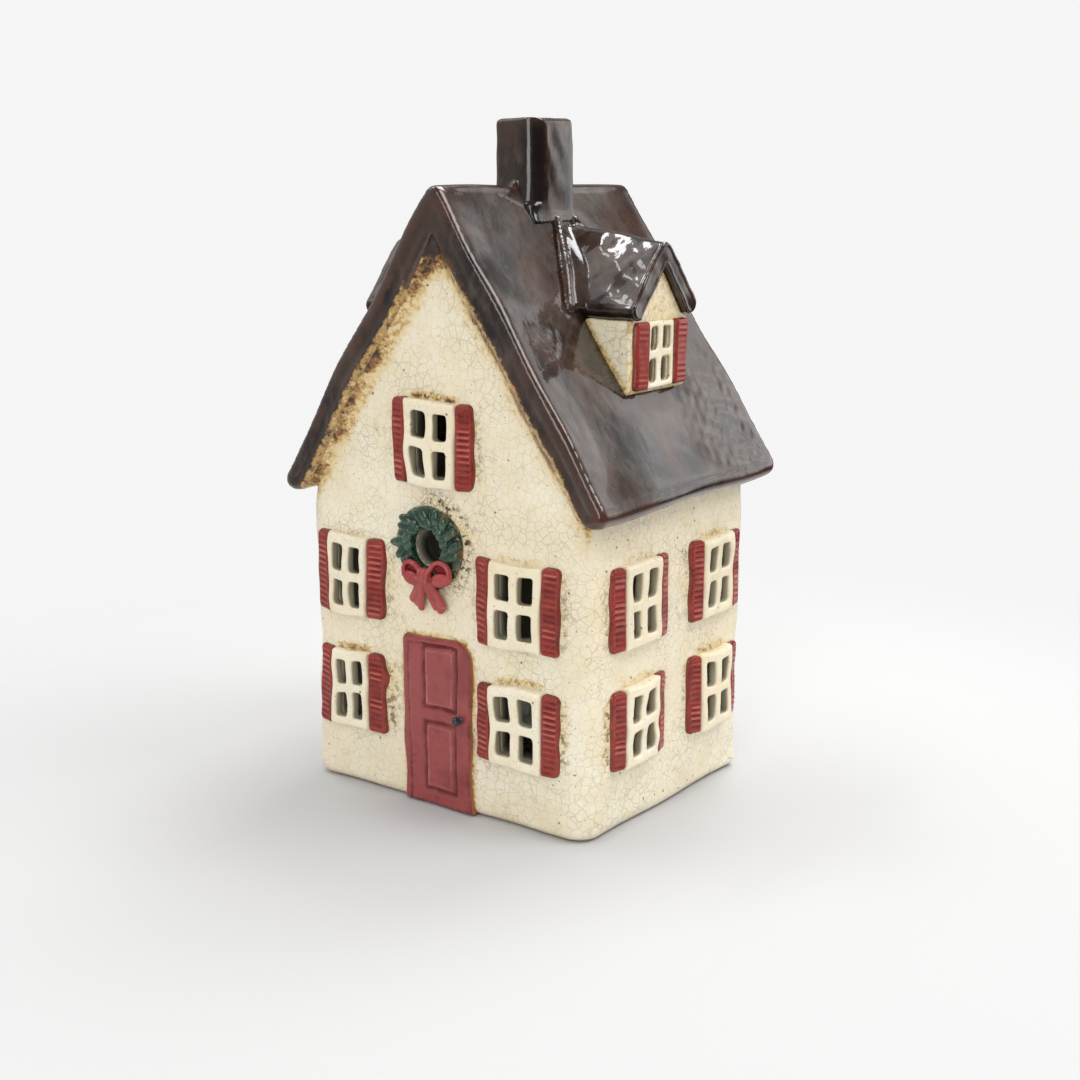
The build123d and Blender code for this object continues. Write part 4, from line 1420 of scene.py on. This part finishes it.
def make_floor():
    """A pale floor that keeps the shadow and fades into the backdrop further out."""
    sides = 96
    angle = np.arange(sides) * 2 * math.pi / sides
    rim = np.stack([np.cos(angle), np.sin(angle), 0 * angle], -1) * floor_radius
    floor = new_piece("floor", mesh_of("floor", rim, [list(range(sides))]))
    paint = Paint("floor")
    away = paint.add("ShaderNodeVectorMath", operation="LENGTH")
    paint.plug(away.inputs[0], paint.place)
    paint.set(base_color=(floor_albedo,) * 3, roughness=0.9, ior=1.2)
    clear = paint.add("ShaderNodeBsdfTransparent")
    blend = paint.add("ShaderNodeMixShader")
    paint.plug(blend.inputs[0], paint.span(away.outputs["Value"], fade_start, fade_end))
    paint.plug(blend.inputs[1], paint.shader.outputs[0])
    paint.plug(blend.inputs[2], clear.outputs[0])
    paint.plug(paint.tree.nodes["Material Output"].inputs["Surface"], blend.outputs[0])
    floor.data.materials.append(paint.material)


def make_world():
    """Even light; the camera sees the pale backdrop, and reflections an uneven room, bright behind the house."""
    world = bpy.data.worlds.new("studio")
    world.use_nodes = True
    bpy.context.scene.world = world
    room = Nodes(world.node_tree, "Generated")
    rays = room.add("ShaderNodeLightPath").outputs
    glow = room.span(room.toward(bright_toward), bright_from, bright_to, 0.0, bright_side)
    uneven = room.span(room.noise(9, 3, 0.5), 0.32, 0.68, 0.6, 1.35, "LINEAR")
    dim = room.span(room.toward(dim_from), -0.45, 0.8, *dim_side, "LINEAR")
    brighter = room.math("MAXIMUM", room.times(glow, uneven), dim)
    mirrored = room.math("MAXIMUM", rays["Is Glossy Ray"], rays["Is Transmission Ray"])
    lit = room.between(mirrored, world_light, brighter)
    shade = room.tree.nodes["Background"]
    room.plug(shade.inputs["Color"], backdrop)
    room.plug(shade.inputs["Strength"], room.between(rays["Is Camera Ray"], lit, 1.0))


def add_lamp(name, direction, distance, wide, tall, power):
    """A softbox that looks at the middle of the house from a direction."""
    lamp = bpy.data.lights.new(name, "AREA")
    lamp.shape = "RECTANGLE"
    lamp.size = wide * MM
    lamp.size_y = tall * MM
    lamp.energy = power
    holder = bpy.data.objects.new(name, lamp)
    bpy.context.scene.collection.objects.link(holder)
    holder.visible_camera = False
    toward = Vector(direction).normalized()
    aim = Vector((0, 0, 90 * MM))
    holder.location = aim + toward * distance * MM
    holder.rotation_mode = "QUATERNION"
    holder.rotation_quaternion = toward.to_track_quat("Z", "Y")


make_floor()
make_world()
add_lamp("key", (0.00, 0.48, 0.88), 1000, 500, 500, 5.4)
add_lamp("side", (0.60, 0.25, 0.76), 1000, 500, 500, 4.2)
add_lamp("fill", (0.36, -0.86, 0.36), 1000, 260, 900, 2.6)
add_lamp("panel", (-0.55, -0.15, 0.82), 900, 600, 600, 0.9)
add_lamp("glint", (-0.40, -0.03, 0.92), 900, 240, 120, 1.2)
add_lamp("edge_glint", (-0.34, -0.30, 0.89), 900, 120, 60, 0.14)

view_azimuth = math.radians(35.95)
view_pitch = math.radians(12.56)
view_roll = math.radians(0.34)
view_distance = 500.3
view_aim = (2.41, 74.2)
view_lens = 54.14


def make_camera():
    """The photograph's view: from the front right, a little above."""
    level = Vector((math.cos(view_azimuth), math.sin(view_azimuth), 0))
    back = Vector(
        (
            math.sin(view_azimuth) * math.cos(view_pitch),
            -math.cos(view_azimuth) * math.cos(view_pitch),
            math.sin(view_pitch),
        )
    )
    rise = back.cross(level)
    right = level * math.cos(view_roll) + rise * math.sin(view_roll)
    top = rise * math.cos(view_roll) - level * math.sin(view_roll)
    place = (level * view_aim[0] + Vector((0, 0, view_aim[1])) + back * view_distance) * MM
    lens = bpy.data.cameras.new("camera")
    lens.lens = view_lens
    lens.sensor_width = 36
    camera = bpy.data.objects.new("camera", lens)
    bpy.context.scene.collection.objects.link(camera)
    turn = Matrix((right, top, back)).transposed().to_4x4()
    camera.matrix_world = Matrix.Translation(place) @ turn
    bpy.context.scene.camera = camera


make_camera()
bpy.context.scene.view_settings.view_transform = "Standard"
